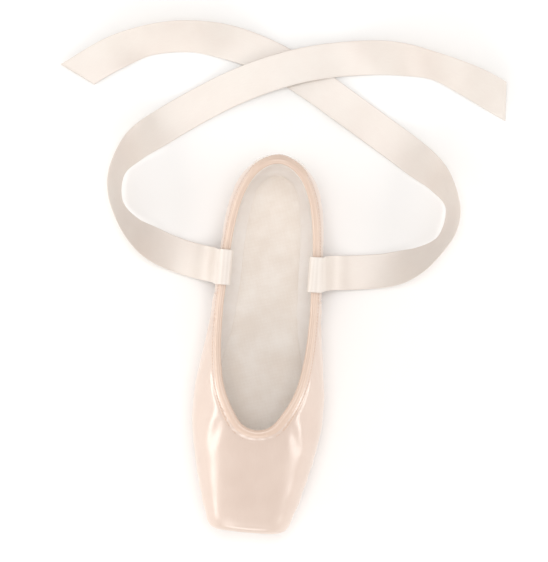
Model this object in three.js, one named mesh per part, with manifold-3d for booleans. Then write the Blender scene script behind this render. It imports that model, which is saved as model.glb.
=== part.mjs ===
// A satin pointe shoe, standing empty and unbent on its leather outsole, its two ribbons let down beside it.
// Millimetres. +X runs to the toe, +Y to the shoe's left side and +Z up. The origin is on the floor, under
// the middle of the shoe's length. A station is a distance from the back of the heel.
import * as THREE from "three";
import { mergeVertices } from "three/addons/utils/BufferGeometryUtils.js";
import Module from "manifold-3d";

const wasm = await Module();
wasm.setup();

// Driving dimensions
const LENGTH = 235;
const BALL_WIDTH = 81;
const INSTEP_HEIGHT = 60; // crown of the last over the instep, above the floor
const HEEL_HEIGHT = 56; // topline at the back of the heel, above the floor
const GAP = 0.3; // clearance between pieces that touch in the real shoe

// Thicknesses
const SOLE_THICKNESS = 3;
const BOTTOM_WALL = 2; // satin and canvas turned under the last
const INSOLE_THICKNESS = 1.7;
const INSOLE_CLEARANCE = 0.4; // below the insole
const INSOLE_HEEL = 3; // where the insole starts, and below, where it ends
const INSOLE_TOE = 0.9 * LENGTH;
const STRIP_THICKNESS = 0.8;
const STRIP_WIDTH = 31;
const RIBBON_THICKNESS = 0.6;
const RIBBON_WIDTH = 22;
const TAB_STATION = 71.5; // middle of the ribbon's sewn end
const TAB_LENGTH = 24;
const TAB_DROP = 1; // from the binding's lower edge to the tab
const TAB_THICKNESS = 0.8; // the ribbon's end and its turned-in hem

// The binding's cross-section: across the wall, and along it from the cut edge
const BINDING_OUTSIDE = 0.9;
const BINDING_INSIDE = 3.1;
const BINDING_ABOVE = 1.4;
const BINDING_BELOW = 4.6;
const BINDING_CORNER = 0.9;

// Mesh densities
const SECTION_POINTS = 36;
const BINDING_STEPS = 64;
const TOPLINE_STEPS = 40;
const SOLE_STATIONS = 26;
const SOLE_OPENING_STATIONS = 18;
const INSOLE_STATIONS = 14;
const RIBBON_STEPS = 80;
const ROUTE_STEPS = 20; // for each row of a ribbon's route
const END_STEP = 0.35; // how far past a rounded end the first step lies, in steps

// Cutting solids reach this far past what they cut
const OVERSHOOT = 5;

// The last, one row for each section. at: percent of the length. width: percent of the ball width.
// top: percent of the instep height. rise: underside above the sole's top side. wall: side and top wall.
// crown and square: how full the upper and lower half of the section are (2 is an ellipse).
const LAST = [
  { at: 0.0, width: 7.4, top: 74.0, rise: 16.7, wall: 2.2, crown: 2.0, square: 2.4 },
  { at: 0.4, width: 18.5, top: 84.0, rise: 9.4, wall: 2.2, crown: 2.0, square: 2.5 },
  { at: 1.3, width: 30.4, top: 95.5, rise: 4.9, wall: 2.2, crown: 2.0, square: 2.6 },
  { at: 2.6, width: 41.0, top: 103.0, rise: 2.2, wall: 2.2, crown: 2.0, square: 2.8 },
  { at: 4.3, width: 50.2, top: 108.5, rise: 0.7, wall: 2.2, crown: 2.0, square: 3.0 },
  { at: 6.4, width: 58.4, top: 111.5, rise: 0.0, wall: 2.2, crown: 2.0, square: 3.1 },
  { at: 12.8, width: 70.8, top: 112.0, rise: 0.0, wall: 2.1, crown: 2.0, square: 3.3 },
  { at: 21.3, width: 76.8, top: 108.0, rise: 0.0, wall: 2.0, crown: 2.0, square: 3.4 },
  { at: 34.0, width: 80.2, top: 102.0, rise: 1.6, wall: 2.0, crown: 2.0, square: 3.3 },
  { at: 40.4, width: 82.5, top: 100.5, rise: 2.3, wall: 2.0, crown: 2.0, square: 3.3 },
  { at: 46.8, width: 86.4, top: 100.8, rise: 1.8, wall: 2.0, crown: 2.0, square: 3.5 },
  { at: 56.2, width: 94.0, top: 101.6, rise: 0.0, wall: 2.0, crown: 2.0, square: 4.2 },
  { at: 63.8, width: 99.5, top: 98.9, rise: 0.0, wall: 2.2, crown: 2.0, square: 4.4 },
  { at: 70.2, width: 99.3, top: 92.2, rise: 0.0, wall: 2.5, crown: 2.0, square: 4.2 },
  { at: 74.5, width: 96.6, top: 86.9, rise: 0.0, wall: 2.8, crown: 2.1, square: 3.9 },
  { at: 78.7, width: 92.6, top: 82.0, rise: 0.3, wall: 3.0, crown: 2.15, square: 3.5 },
  { at: 84.3, width: 85.4, top: 75.2, rise: 1.0, wall: 3.0, crown: 2.2, square: 3.1 },
  { at: 90.2, width: 76.8, top: 68.2, rise: 2.4, wall: 3.0, crown: 2.3, square: 2.9 },
  { at: 94.9, width: 68.6, top: 62.6, rise: 3.8, wall: 3.2, crown: 2.4, square: 2.7 },
  { at: 98.1, width: 62.0, top: 58.6, rise: 4.9, wall: 3.6, crown: 2.5, square: 2.6 },
  { at: 99.4, width: 57.0, top: 56.4, rise: 5.9, wall: 3.8, crown: 2.5, square: 2.6 },
  { at: 100.0, width: 50.2, top: 53.0, rise: 7.8, wall: 3.8, crown: 2.5, square: 2.6 },
];
const TOE_WALL = 5; // the box behind the platform
const HEEL_WALL = 2.2;
const WIDEST_LEVEL = 0.37; // height of a section's widest point, as a share of its height

// The opening. at: percent of the length. open: how much of the last's half-width it takes, in percent.
const OPENING = [
  { at: 1.0, open: 0 },
  { at: 2.1, open: 56.0 },
  { at: 4.3, open: 72.5 },
  { at: 8.5, open: 80.5 },
  { at: 17.0, open: 86.8 },
  { at: 27.7, open: 89.6 },
  { at: 38.3, open: 89.4 },
  { at: 46.8, open: 83.8 },
  { at: 56.2, open: 71.2 },
  { at: 63.8, open: 55.2 },
  { at: 68.9, open: 38.6 },
  { at: 71.6, open: 26.6 },
  { at: 73.2, open: 0 },
];

// The outsole's outline. at: percent of the shoe's length. half: half-width in percent of the ball width.
const OUTSOLE = [
  { at: 3.4, half: 0.0 },
  { at: 6.4, half: 13.4 },
  { at: 12.0, half: 19.2 },
  { at: 19.0, half: 19.8 },
  { at: 32.0, half: 16.8 },
  { at: 40.5, half: 16.6 },
  { at: 51.0, half: 22.4 },
  { at: 61.7, half: 31.0 },
  { at: 70.2, half: 35.2 },
  { at: 76.6, half: 33.6 },
  { at: 81.7, half: 25.4 },
  { at: 84.3, half: 13.4 },
  { at: 85.2, half: 0.0 },
];
const SOLE_MARGIN = 8.5; // how far the outsole laps the upper that is turned under it

// A ribbon's route from inside the quarter, over the binding and down to the floor. heading and lean:
// where its width points, in plan and up from level, in degrees. side: 1 for left, -1 for right.
const RIBBONS = {
  left: {
    side: 1,
    route: [
      { x: -46.0, y: 24.0, z: 40.4, heading: 0, lean: -4 },
      { x: -46.0, y: 24.6, z: 44.3, heading: 0, lean: -4 },
      { x: -46.0, y: 27.3, z: 46.2, heading: 0, lean: -4 },
      { x: -46.1, y: 30.3, z: 45.4, heading: 1, lean: -4 },
      { x: -46.3, y: 32.5, z: 41.8, heading: 2, lean: -3 },
      { x: -46.6, y: 33.4, z: 36.0, heading: 3, lean: -2 },
      { x: -47.0, y: 34.2, z: 27.0, heading: 4, lean: 0 },
      { x: -47.5, y: 35.6, z: 17.5, heading: 5, lean: 2 },
      { x: -48.2, y: 38.8, z: 9.0, heading: 6, lean: 3 },
      { x: -49.0, y: 46.5, z: 3.4, heading: 8, lean: 4 },
      { x: -50.4, y: 58.0, z: 1.8, heading: 10, lean: 5 },
      { x: -53.6, y: 76.0, z: 3.6, heading: 16, lean: 13 },
      { x: -61.5, y: 94.0, z: 9.0, heading: 36, lean: 46 },
      { x: -77.0, y: 109.0, z: 11.2, heading: 70, lean: 70 },
      { x: -96.5, y: 112.0, z: 11.2, heading: 108, lean: 70 },
      { x: -113.5, y: 101.5, z: 8.8, heading: 134, lean: 44 },
      { x: -127.5, y: 83.0, z: 3.6, heading: 146, lean: 12 },
      { x: -141.0, y: 61.5, z: 1.0, heading: 149, lean: 0 },
      { x: -154.5, y: 39.0, z: 1.6, heading: 149, lean: -3 },
      { x: -168.0, y: 16.0, z: 1.0, heading: 151, lean: 0 },
      { x: -180.5, y: -9.0, z: 1.0, heading: 158, lean: 0 },
      { x: -188.5, y: -36.0, z: 3.0, heading: 170, lean: 9 },
      { x: -190.5, y: -63.0, z: 6.6, heading: 183, lean: 30 },
      { x: -185.5, y: -90.0, z: 7.2, heading: 197, lean: 34 },
      { x: -174.5, y: -113.5, z: 3.4, heading: 208, lean: 12 },
      { x: -160.5, y: -133.5, z: 1.4, heading: 218, lean: 3 },
    ],
  },
  right: {
    side: -1,
    route: [
      { x: -46.0, y: -24.0, z: 40.4, heading: 0, lean: -4 },
      { x: -46.0, y: -24.6, z: 44.3, heading: 0, lean: -4 },
      { x: -46.0, y: -27.3, z: 46.2, heading: 0, lean: -4 },
      { x: -46.0, y: -30.3, z: 45.4, heading: 0, lean: -4 },
      { x: -46.0, y: -32.5, z: 41.8, heading: 0, lean: -3 },
      { x: -46.1, y: -33.4, z: 36.0, heading: 1, lean: -2 },
      { x: -46.3, y: -34.2, z: 27.0, heading: 1, lean: 0 },
      { x: -46.7, y: -35.4, z: 17.5, heading: 2, lean: 2 },
      { x: -47.2, y: -38.2, z: 9.0, heading: 4, lean: 3 },
      { x: -48.2, y: -45.5, z: 3.6, heading: 7, lean: 5 },
      { x: -50.4, y: -57.0, z: 2.2, heading: 12, lean: 7 },
      { x: -55.6, y: -73.0, z: 4.8, heading: 22, lean: 18 },
      { x: -65.5, y: -89.5, z: 9.6, heading: 43, lean: 52 },
      { x: -82.0, y: -101.5, z: 11.3, heading: 76, lean: 72 },
      { x: -101.0, y: -102.5, z: 11.0, heading: 108, lean: 66 },
      { x: -118.0, y: -92.5, z: 7.8, heading: 131, lean: 36 },
      { x: -132.5, y: -75.5, z: 3.0, heading: 141, lean: 8 },
      { x: -146.5, y: -56.0, z: 1.4, heading: 145, lean: 0 },
      { x: -159.5, y: -35.0, z: 2.8, heading: 149, lean: 0 },
      { x: -170.5, y: -12.5, z: 5.2, heading: 155, lean: 0 },
      { x: -179.5, y: 12.0, z: 4.4, heading: 161, lean: 0 },
      { x: -185.5, y: 38.5, z: 2.2, heading: 169, lean: 4 },
      { x: -188.0, y: 65.5, z: 4.8, heading: 179, lean: 20 },
      { x: -185.0, y: 92.5, z: 8.8, heading: 191, lean: 44 },
      { x: -177.0, y: 117.5, z: 6.0, heading: 200, lean: 26 },
      { x: -167.0, y: 140.5, z: 1.8, heading: 206, lean: 5 },
    ],
  },
};

const stationX = (station) => station - LENGTH / 2;

// A smooth curve through a table's column that never swings past its rows (monotone cubic).
function curve(stations, values) {
  const steps = stations.slice(1).map((s, i) => s - stations[i]);
  const slopes = steps.map((step, i) => (values[i + 1] - values[i]) / step);
  const tangents = values.map((_, i) => {
    if (i === 0) return slopes[0];
    if (i === slopes.length) return slopes[i - 1];
    if (slopes[i - 1] * slopes[i] <= 0) return 0;
    const before = 2 * steps[i] + steps[i - 1];
    const after = steps[i] + 2 * steps[i - 1];
    return (before + after) / (before / slopes[i - 1] + after / slopes[i]);
  });
  return (station) => {
    const clamped = THREE.MathUtils.clamp(station, stations[0], stations.at(-1));
    let i = 0;
    while (i < steps.length - 1 && clamped > stations[i + 1]) i += 1;
    const t = (clamped - stations[i]) / steps[i];
    const u = 1 - t;
    return (
      u * u * (1 + 2 * t) * values[i] +
      u * u * t * steps[i] * tangents[i] +
      t * t * (3 - 2 * t) * values[i + 1] -
      t * t * u * steps[i] * tangents[i + 1]
    );
  };
}

const along = (table, value) =>
  curve(table.map((row) => (row.at * LENGTH) / 100), table.map(value));

const halfWidth = along(LAST, (row) => (row.width * BALL_WIDTH) / 200);
const top = along(LAST, (row) => (row.top * INSTEP_HEIGHT) / 100);
const rise = along(LAST, (row) => row.rise);
const wall = along(LAST, (row) => row.wall);
const crown = along(LAST, (row) => row.crown);
const square = along(LAST, (row) => row.square);
const openSquared = along(OPENING, (row) => (row.open / 100) ** 2);
const soleHalfSquared = along(OUTSOLE, (row) => ((row.half * BALL_WIDTH) / 100) ** 2);

const HEEL_SEAT = 0.064 * LENGTH; // the sole is flat from its end to here and beyond
const soleRise = (station) => (station < HEEL_SEAT ? 0 : rise(station));
const soleHalf = (station) => Math.sqrt(Math.max(soleHalfSquared(station), 0));
const underside = (station) => SOLE_THICKNESS + GAP + rise(station);

// One section of the last, grown or shrunk: its half-width, top, bottom and the level of its widest point.
function section(station, sideGrow, bottomGrow) {
  const low = underside(station);
  const high = top(station);
  return {
    half: halfWidth(station) + sideGrow,
    high: high + sideGrow,
    low: low - bottomGrow,
    level: low + WIDEST_LEVEL * (high - low),
  };
}

const rounded = (value, fullness) => Math.sign(value) * Math.abs(value) ** (2 / fullness);

function sectionRing(station, x, sideGrow, bottomGrow) {
  const shape = section(station, sideGrow, bottomGrow);
  return Array.from({ length: SECTION_POINTS }, (_, j) => {
    const angle = (2 * Math.PI * j) / SECTION_POINTS;
    const upperHalf = Math.sin(angle) >= 0;
    const fullness = upperHalf ? crown(station) : square(station);
    const reach = upperHalf ? shape.high - shape.level : shape.level - shape.low;
    return new THREE.Vector3(
      x,
      shape.half * rounded(Math.cos(angle), fullness),
      shape.level + reach * rounded(Math.sin(angle), fullness),
    );
  });
}

// A closed skin over rings of the same number of points; a loop joins its last ring to its first. The
// ring's second half splits its quads the other way, so that both faces of a twisted band match.
function loft(rings, isLoop = false) {
  const count = rings[0].length;
  const points = rings.flat();
  const triangles = [];
  const last = isLoop ? rings.length : rings.length - 1;
  for (let i = 0; i < last; i += 1) {
    const here = i * count;
    const next = ((i + 1) % rings.length) * count;
    for (let j = 0; j < count; j += 1) {
      const k = (j + 1) % count;
      if (2 * j < count) triangles.push([here + j, here + k, next + j], [next + j, here + k, next + k]);
      else triangles.push([here + j, here + k, next + k], [here + j, next + k, next + j]);
    }
  }
  if (!isLoop) {
    for (const [ring, start] of [[rings[0], 0], [rings.at(-1), (rings.length - 1) * count]]) {
      const middle = ring.reduce((sum, p) => sum.add(p), new THREE.Vector3()).divideScalar(count);
      const hub = points.push(middle) - 1;
      for (let j = 0; j < count; j += 1) {
        const k = (j + 1) % count;
        triangles.push(start === 0 ? [hub, start + k, start + j] : [hub, start + j, start + k]);
      }
    }
  }
  const volume = triangles.reduce((sum, [a, b, c]) => {
    return sum + points[a].dot(new THREE.Vector3().crossVectors(points[b], points[c]));
  }, 0);
  const facing = volume < 0 ? triangles.map(([a, b, c]) => [a, c, b]) : triangles;
  const geometry = new THREE.BufferGeometry().setFromPoints(points);
  geometry.setIndex(facing.flat());
  return geometry;
}

function solid(geometry) {
  geometry.deleteAttribute("normal");
  geometry.deleteAttribute("uv");
  const merged = mergeVertices(geometry, 1e-5);
  return new wasm.Manifold(new wasm.Mesh({
    numProp: 3,
    vertProperties: new Float32Array(merged.attributes.position.array),
    triVerts: new Uint32Array(merged.index.array),
  }));
}

function geometryOf(body) {
  const mesh = body.getMesh();
  const geometry = new THREE.BufferGeometry();
  geometry.setAttribute("position", new THREE.BufferAttribute(mesh.vertProperties, 3));
  geometry.setIndex(new THREE.BufferAttribute(mesh.triVerts, 1));
  return geometry;
}

// An upright prism over a plan outline of [x, y] points.
function uprightPrism(outline, from, to) {
  const shape = new THREE.Shape(outline.map(([x, y]) => new THREE.Vector2(x, y)));
  const geometry = new THREE.ExtrudeGeometry(shape, { depth: to - from, bevelEnabled: false });
  return solid(geometry.translate(0, 0, from));
}

// A block between two x, y and z values.
function block([x0, x1], [y0, y1], [z0, z1]) {
  const geometry = new THREE.BoxGeometry(x1 - x0, y1 - y0, z1 - z0);
  return solid(geometry.translate((x0 + x1) / 2, (y0 + y1) / 2, (z0 + z1) / 2));
}

// The whole last, grown all round by one distance.
const LAST_STATIONS = [
  0, 0.4, 1.3, 2.6, 4.3, 6.4, 9, 12.8, 17, 21.3, 27, 34, 40.4, 46.8, 51.5, 56.2, 60, 63.8, 67, 70.2,
  74.5, 78.7, 84.3, 90.2, 94.9, 98.1, 99.4, 100,
].map((percent) => (percent * LENGTH) / 100);

function grownLast(grow) {
  const stretch = (LENGTH / 2 + grow) / (LENGTH / 2);
  return solid(loft(LAST_STATIONS.map((station) =>
    sectionRing(station, stationX(station) * stretch, grow, grow))));
}

// The room inside the upper, shrunk further by one distance.
function roomInside(shrink) {
  const heel = -LENGTH / 2 + HEEL_WALL + shrink;
  const toe = LENGTH / 2 - TOE_WALL - shrink;
  return solid(loft(LAST_STATIONS.map((station) => {
    const x = THREE.MathUtils.mapLinear(station, 0, LENGTH, heel, toe);
    return sectionRing(station, x, -Math.min(wall(station), halfWidth(station) - 1) - shrink * 0.98,
      -BOTTOM_WALL - shrink);
  })));
}

// The height of the topline: where the last is as wide as the opening. Its ends are on the crown.
function topline(station) {
  const { high, level } = section(station, 0, 0);
  const open = Math.sqrt(Math.max(openSquared(station), 0));
  return level + (high - level) * (1 - open ** crown(station)) ** (1 / crown(station));
}

const OPENING_ENDS = [OPENING[0].at, OPENING.at(-1).at].map((percent) => (percent * LENGTH) / 100);

// Stations between two rounded ends, closer together towards them.
function roundedSteps(from, to, count) {
  return Array.from({ length: count }, (_, i) =>
    (from + to) / 2 -
      ((to - from) / 2) * Math.cos((Math.PI * (i + END_STEP)) / (count - 1 + 2 * END_STEP)));
}

// Above the topline, from side to side.
function aboveTopline() {
  const [back, throat] = OPENING_ENDS;
  const [behind, above] = [-2 * OVERSHOOT, 1.4 * INSTEP_HEIGHT];
  const profile = [[behind, topline(back)]];
  for (const station of roundedSteps(back, throat, TOPLINE_STEPS)) profile.push([station, topline(station)]);
  profile.push([throat, topline(throat)], [throat + OVERSHOOT, topline(throat) + 1]);
  profile.push([throat + 3 * OVERSHOOT, above], [behind, above]);
  const shape = new THREE.Shape(profile.map(([s, z]) => new THREE.Vector2(stationX(s), z)));
  const geometry = new THREE.ExtrudeGeometry(shape, { depth: 2 * BALL_WIDTH, bevelEnabled: false });
  return solid(geometry.rotateX(Math.PI / 2).translate(0, BALL_WIDTH, 0));
}

function toplinePoint(angle) {
  const [back, throat] = OPENING_ENDS;
  const station = (throat + back) / 2 + ((throat - back) / 2) * Math.cos(angle);
  const open = Math.sqrt(Math.max(openSquared(station), 0));
  const side = Math.sign(Math.sin(angle)) * halfWidth(station) * open;
  return new THREE.Vector3(stationX(station), side, topline(station));
}

// Which way the last's surface faces at a point.
function facing(point) {
  const distance = (x, y, z) => {
    const station = x + LENGTH / 2;
    const shape = section(station, 0, 0);
    const reach = z >= shape.level ? shape.high - shape.level : shape.level - shape.low;
    return Math.hypot(y / shape.half, (z - shape.level) / reach);
  };
  const step = 0.25; // millimetres, for the differences
  return new THREE.Vector3(
    distance(point.x + step, point.y, point.z) - distance(point.x - step, point.y, point.z),
    distance(point.x, point.y + step, point.z) - distance(point.x, point.y - step, point.z),
    distance(point.x, point.y, point.z + step) - distance(point.x, point.y, point.z - step),
  ).normalize();
}

// The folded tape round the topline: a rounded bar swept round the opening, in the wall's own directions.
function bindingBar(grow) {
  const across = [-BINDING_INSIDE - grow, BINDING_OUTSIDE + grow];
  const down = [-BINDING_ABOVE - grow, BINDING_BELOW + grow];
  const c = BINDING_CORNER;
  const outline = [
    [across[0] + c, down[0]], [across[1] - c, down[0]], [across[1], down[0] + c], [across[1], down[1] - c],
    [across[1] - c, down[1]], [across[0] + c, down[1]], [across[0], down[1] - c], [across[0], down[0] + c],
  ];
  const rings = Array.from({ length: BINDING_STEPS }, (_, i) => {
    const angle = (2 * Math.PI * (i + 0.5)) / BINDING_STEPS;
    const point = toplinePoint(angle);
    const nearby = Math.PI / (2.5 * BINDING_STEPS);
    const forward = toplinePoint(angle + nearby).sub(toplinePoint(angle - nearby)).normalize();
    const out = facing(point);
    out.addScaledVector(forward, -out.dot(forward)).normalize();
    const away = new THREE.Vector3().crossVectors(forward, out);
    return outline.map(([n, b]) => point.clone().addScaledVector(out, n).addScaledVector(away, b));
  });
  return solid(loft(rings, true));
}

const OUTSOLE_ENDS = [OUTSOLE[0].at, OUTSOLE.at(-1).at].map((percent) => (percent * LENGTH) / 100);

function outsole() {
  return loft(roundedSteps(...OUTSOLE_ENDS, SOLE_STATIONS).map((station) => {
    const x = stationX(station);
    const half = soleHalf(station);
    const low = soleRise(station);
    const high = low + SOLE_THICKNESS;
    return [[half, low], [half, high], [-half, high], [-half, low]]
      .map(([y, z]) => new THREE.Vector3(x, y, z));
  }));
}

// Where the outsole closes the upper from below.
function soleOpening() {
  const [back, front] = OUTSOLE_ENDS;
  const stations = roundedSteps(back + SOLE_MARGIN, front - SOLE_MARGIN, SOLE_OPENING_STATIONS);
  const half = (station) => Math.max(soleHalf(station) - SOLE_MARGIN, GAP);
  const left = stations.map((station) => [stationX(station), half(station)]);
  const right = stations.map((station) => [stationX(station), -half(station)]).reverse();
  return uprightPrism([...left, ...right], -OVERSHOOT, SOLE_THICKNESS + BOTTOM_WALL + OVERSHOOT);
}

function insole() {
  const stations = Array.from({ length: INSOLE_STATIONS }, (_, i) =>
    THREE.MathUtils.mapLinear(i, 0, INSOLE_STATIONS - 1, INSOLE_HEEL, INSOLE_TOE));
  const slab = solid(loft(stations.map((station) => {
    const low = SOLE_THICKNESS + GAP + BOTTOM_WALL + INSOLE_CLEARANCE + soleRise(station);
    const high = low + INSOLE_THICKNESS;
    return [[BALL_WIDTH, low], [BALL_WIDTH, high], [-BALL_WIDTH, high], [-BALL_WIDTH, low]]
      .map(([y, z]) => new THREE.Vector3(stationX(station), y, z));
  })));
  return slab.intersect(roomInside(GAP));
}

// A flat ribbon along its route.
function ribbon({ side, route }) {
  const path = new THREE.CatmullRomCurve3(
    route.map((row) => new THREE.Vector3(row.x, row.y, row.z)), false, "centripetal");
  const lengths = path.getLengths(ROUTE_STEPS * (route.length - 1));
  const rowShare = route.map((_, i) => lengths[ROUTE_STEPS * i] / lengths.at(-1));
  const heading = curve(rowShare, route.map((row) => THREE.MathUtils.degToRad(row.heading)));
  const lean = curve(rowShare, route.map((row) => THREE.MathUtils.degToRad(row.lean)));
  return loft(Array.from({ length: RIBBON_STEPS + 1 }, (_, i) => {
    const share = i / RIBBON_STEPS;
    const point = path.getPointAt(share);
    const forward = path.getTangentAt(share);
    const level = Math.cos(lean(share));
    const across = new THREE.Vector3(
      Math.cos(heading(share)) * level, side * Math.sin(heading(share)) * level, Math.sin(lean(share)));
    across.addScaledVector(forward, -across.dot(forward)).normalize();
    const up = new THREE.Vector3().crossVectors(forward, across);
    return [[1, 1], [-1, 1], [-1, -1], [1, -1]].map(([a, b]) => point.clone()
      .addScaledVector(across, (a * RIBBON_WIDTH) / 2)
      .addScaledVector(up, (b * RIBBON_THICKNESS) / 2));
  }));
}

const grownBinding = bindingBar(GAP);

const upper = grownLast(0)
  .subtract(roomInside(0))
  .subtract(aboveTopline())
  .subtract(grownBinding)
  .subtract(soleOpening());

const heelStrip = grownLast(GAP + STRIP_THICKNESS)
  .subtract(grownLast(GAP))
  .intersect(block(
    [stationX(-OVERSHOOT), stationX(OUTSOLE_ENDS[0] - GAP)],
    [-STRIP_WIDTH / 2, STRIP_WIDTH / 2],
    [SOLE_THICKNESS + GAP, HEEL_HEIGHT - BINDING_BELOW - GAP],
  ))
  .subtract(grownBinding);

// The ribbon's end, sewn flat inside the quarter below the binding.
function ribbonTab(side) {
  const high = topline(TAB_STATION) - BINDING_BELOW - TAB_DROP;
  return roomInside(GAP)
    .subtract(roomInside(GAP + TAB_THICKNESS))
    .intersect(block(
      [stationX(TAB_STATION) - RIBBON_WIDTH / 2, stationX(TAB_STATION) + RIBBON_WIDTH / 2],
      side > 0 ? [0, BALL_WIDTH] : [-BALL_WIDTH, 0],
      [high - TAB_LENGTH, high],
    ));
}

const satin = (color) => new THREE.MeshStandardMaterial({ color, roughness: 0.38, metalness: 0 });
const shoe = new THREE.Group();

function addPiece(name, geometry, material) {
  const mesh = new THREE.Mesh(geometry, material);
  mesh.name = name;
  shoe.add(mesh);
}

addPiece("outsole", outsole(),
  new THREE.MeshStandardMaterial({ color: 0xd2b294, roughness: 0.75, metalness: 0 }));
addPiece("upper", geometryOf(upper), satin(0xecd4c6));
addPiece("insole", geometryOf(insole()),
  new THREE.MeshStandardMaterial({ color: 0xe6dccf, roughness: 0.9, metalness: 0 }));
addPiece("topline_binding", geometryOf(bindingBar(0)), satin(0xedd5c2));
addPiece("heel_strip", geometryOf(heelStrip), satin(0xf2e5db));
for (const [name, tie] of Object.entries(RIBBONS)) {
  addPiece(`ribbon_tab_${name}`, geometryOf(ribbonTab(tie.side)), satin(0xf2e9e0));
  addPiece(`ribbon_${name}`, ribbon(tie), satin(0xf2e9e0));
}

export default shoe;
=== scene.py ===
"""A satin pointe shoe standing empty on its leather sole, its two ribbons let down on the floor behind it.

The studio is laid out in metres. All other lengths are millimetres until a mesh is made. +X runs to the toe,
+Y to the shoe's left side and +Z up. A station is a distance from the back of the heel.
"""

import math

import bmesh
import bpy
import numpy as np
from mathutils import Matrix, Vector
from mathutils.bvhtree import BVHTree


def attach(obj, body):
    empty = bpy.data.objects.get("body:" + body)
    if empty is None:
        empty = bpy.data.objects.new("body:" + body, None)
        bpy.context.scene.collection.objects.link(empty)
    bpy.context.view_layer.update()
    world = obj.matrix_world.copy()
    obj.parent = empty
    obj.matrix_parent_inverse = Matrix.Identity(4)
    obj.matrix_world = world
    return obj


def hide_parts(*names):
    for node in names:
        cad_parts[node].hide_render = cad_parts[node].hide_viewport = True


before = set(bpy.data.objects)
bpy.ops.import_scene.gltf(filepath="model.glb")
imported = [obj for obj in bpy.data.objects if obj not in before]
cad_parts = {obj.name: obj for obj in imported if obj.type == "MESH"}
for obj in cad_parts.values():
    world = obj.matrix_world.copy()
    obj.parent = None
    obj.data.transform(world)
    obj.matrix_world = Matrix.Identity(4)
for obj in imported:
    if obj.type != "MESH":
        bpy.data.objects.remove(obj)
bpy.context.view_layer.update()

# --------------------------------------------------------------------------------------------------
# Studio. A plain white floor, and large soft boxes on both sides that lay long highlights on the satin.
# The camera looks straight down on the instep, as one looks at a dancer's shoe from the front, toe down.

MM = 0.001


def linear(hex_colour):
    """An sRGB hex colour as linear red, green, blue and alpha."""
    channels = [int(hex_colour[i:i + 2], 16) / 255 for i in (1, 3, 5)]
    return (*[c / 12.92 if c <= 0.04045 else ((c + 0.055) / 1.055) ** 2.4 for c in channels], 1.0)


def add_node(tree, kind, settings=None, **inputs):
    """Adds a node, sets its properties, and sets or links its inputs by name (spaces as underscores)."""
    node = tree.nodes.new(kind)
    for name, value in (settings or {}).items():
        setattr(node, name, value)
    for name, value in inputs.items():
        socket = node.inputs[int(name[1:])] if name[0] == "_" else node.inputs[name.replace("_", " ")]
        if isinstance(value, bpy.types.NodeSocket):
            tree.links.new(value, socket)
        else:
            socket.default_value = value
    return node


def new_material(name):
    """A material with only its shader, and that shader."""
    material = bpy.data.materials.new(name)
    material.use_nodes = True
    return material, material.node_tree, material.node_tree.nodes["Principled BSDF"]


FLOOR_SIZE = 6.0
floor_mesh = bpy.data.meshes.new("studio_floor")
floor_mesh.from_pydata(
    [(x * FLOOR_SIZE / 2, y * FLOOR_SIZE / 2, 0) for x, y in ((-1, -1), (1, -1), (1, 1), (-1, 1))],
    [], [(0, 1, 2, 3)])
floor = bpy.data.objects.new("studio_floor", floor_mesh)
bpy.context.scene.collection.objects.link(floor)
paper, paper_tree, paper_shader = new_material("white_studio_paper")
paper_shader.inputs["Base Color"].default_value = linear("#fbfaf9")
paper_shader.inputs["Roughness"].default_value = 0.9
floor_mesh.materials.append(paper)

world = bpy.data.worlds.new("studio")
bpy.context.scene.world = world
world.use_nodes = True
world.node_tree.nodes["Background"].inputs["Color"].default_value = linear("#fffdfb")
world.node_tree.nodes["Background"].inputs["Strength"].default_value = 0.58
bpy.context.scene.view_settings.view_transform = "Standard"


def soft_box(name, place, aim, size, power, colour):
    """A rectangular light at a place, facing an aim point."""
    light = bpy.data.lights.new(name, "AREA")
    light.shape = "RECTANGLE"
    light.size, light.size_y = size
    light.energy = power
    light.color = linear(colour)[:3]
    lamp = bpy.data.objects.new(name, light)
    bpy.context.scene.collection.objects.link(lamp)
    lamp.location = place
    lamp.rotation_euler = (Vector(aim) - Vector(place)).to_track_quat("-Z", "Y").to_euler()


SHOE_MIDDLE = (0.0, 0.0, 0.03)
soft_box("soft_box_right_side", (0.05, -0.95, 0.30), SHOE_MIDDLE, (1.4, 0.24), 4.6, "#fffefb")
soft_box("soft_box_left_side", (0.0, 1.0, 0.36), SHOE_MIDDLE, (1.3, 0.24), 3.8, "#fffefc")
soft_box("soft_box_toe", (1.0, -0.1, 0.55), SHOE_MIDDLE, (0.9, 0.3), 2.5, "#fffdfb")
soft_box("soft_box_overhead", (-0.25, 0.0, 1.9), SHOE_MIDDLE, (1.1, 1.1), 12.5, "#ffffff")

LENS = 150
SENSOR = 36
FRAME_HEIGHT = 0.352  # what the picture holds from top to bottom, at the shoe's middle height
FRAME_MIDDLE = (-0.040, 0.003)
AXIS_LEAN = math.radians(5)  # the heel leans to the right of the picture
camera_data = bpy.data.cameras.new("camera")
camera_data.lens = LENS
camera_data.sensor_width = SENSOR
camera = bpy.data.objects.new("camera", camera_data)
bpy.context.scene.collection.objects.link(camera)
camera.location = (*FRAME_MIDDLE, SHOE_MIDDLE[2] + FRAME_HEIGHT * LENS / SENSOR)
camera.rotation_euler = (0, 0, math.pi / 2 + AXIS_LEAN)
bpy.context.scene.camera = camera

# --------------------------------------------------------------------------------------------------
# Ribbons. Two lengths of satin ribbon, 22 mm wide with woven selvedges, sewn inside the quarters. They are
# let down over the binding, go round behind the heel on the floor and cross there. Their ends are cut
# on a slant.


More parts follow.
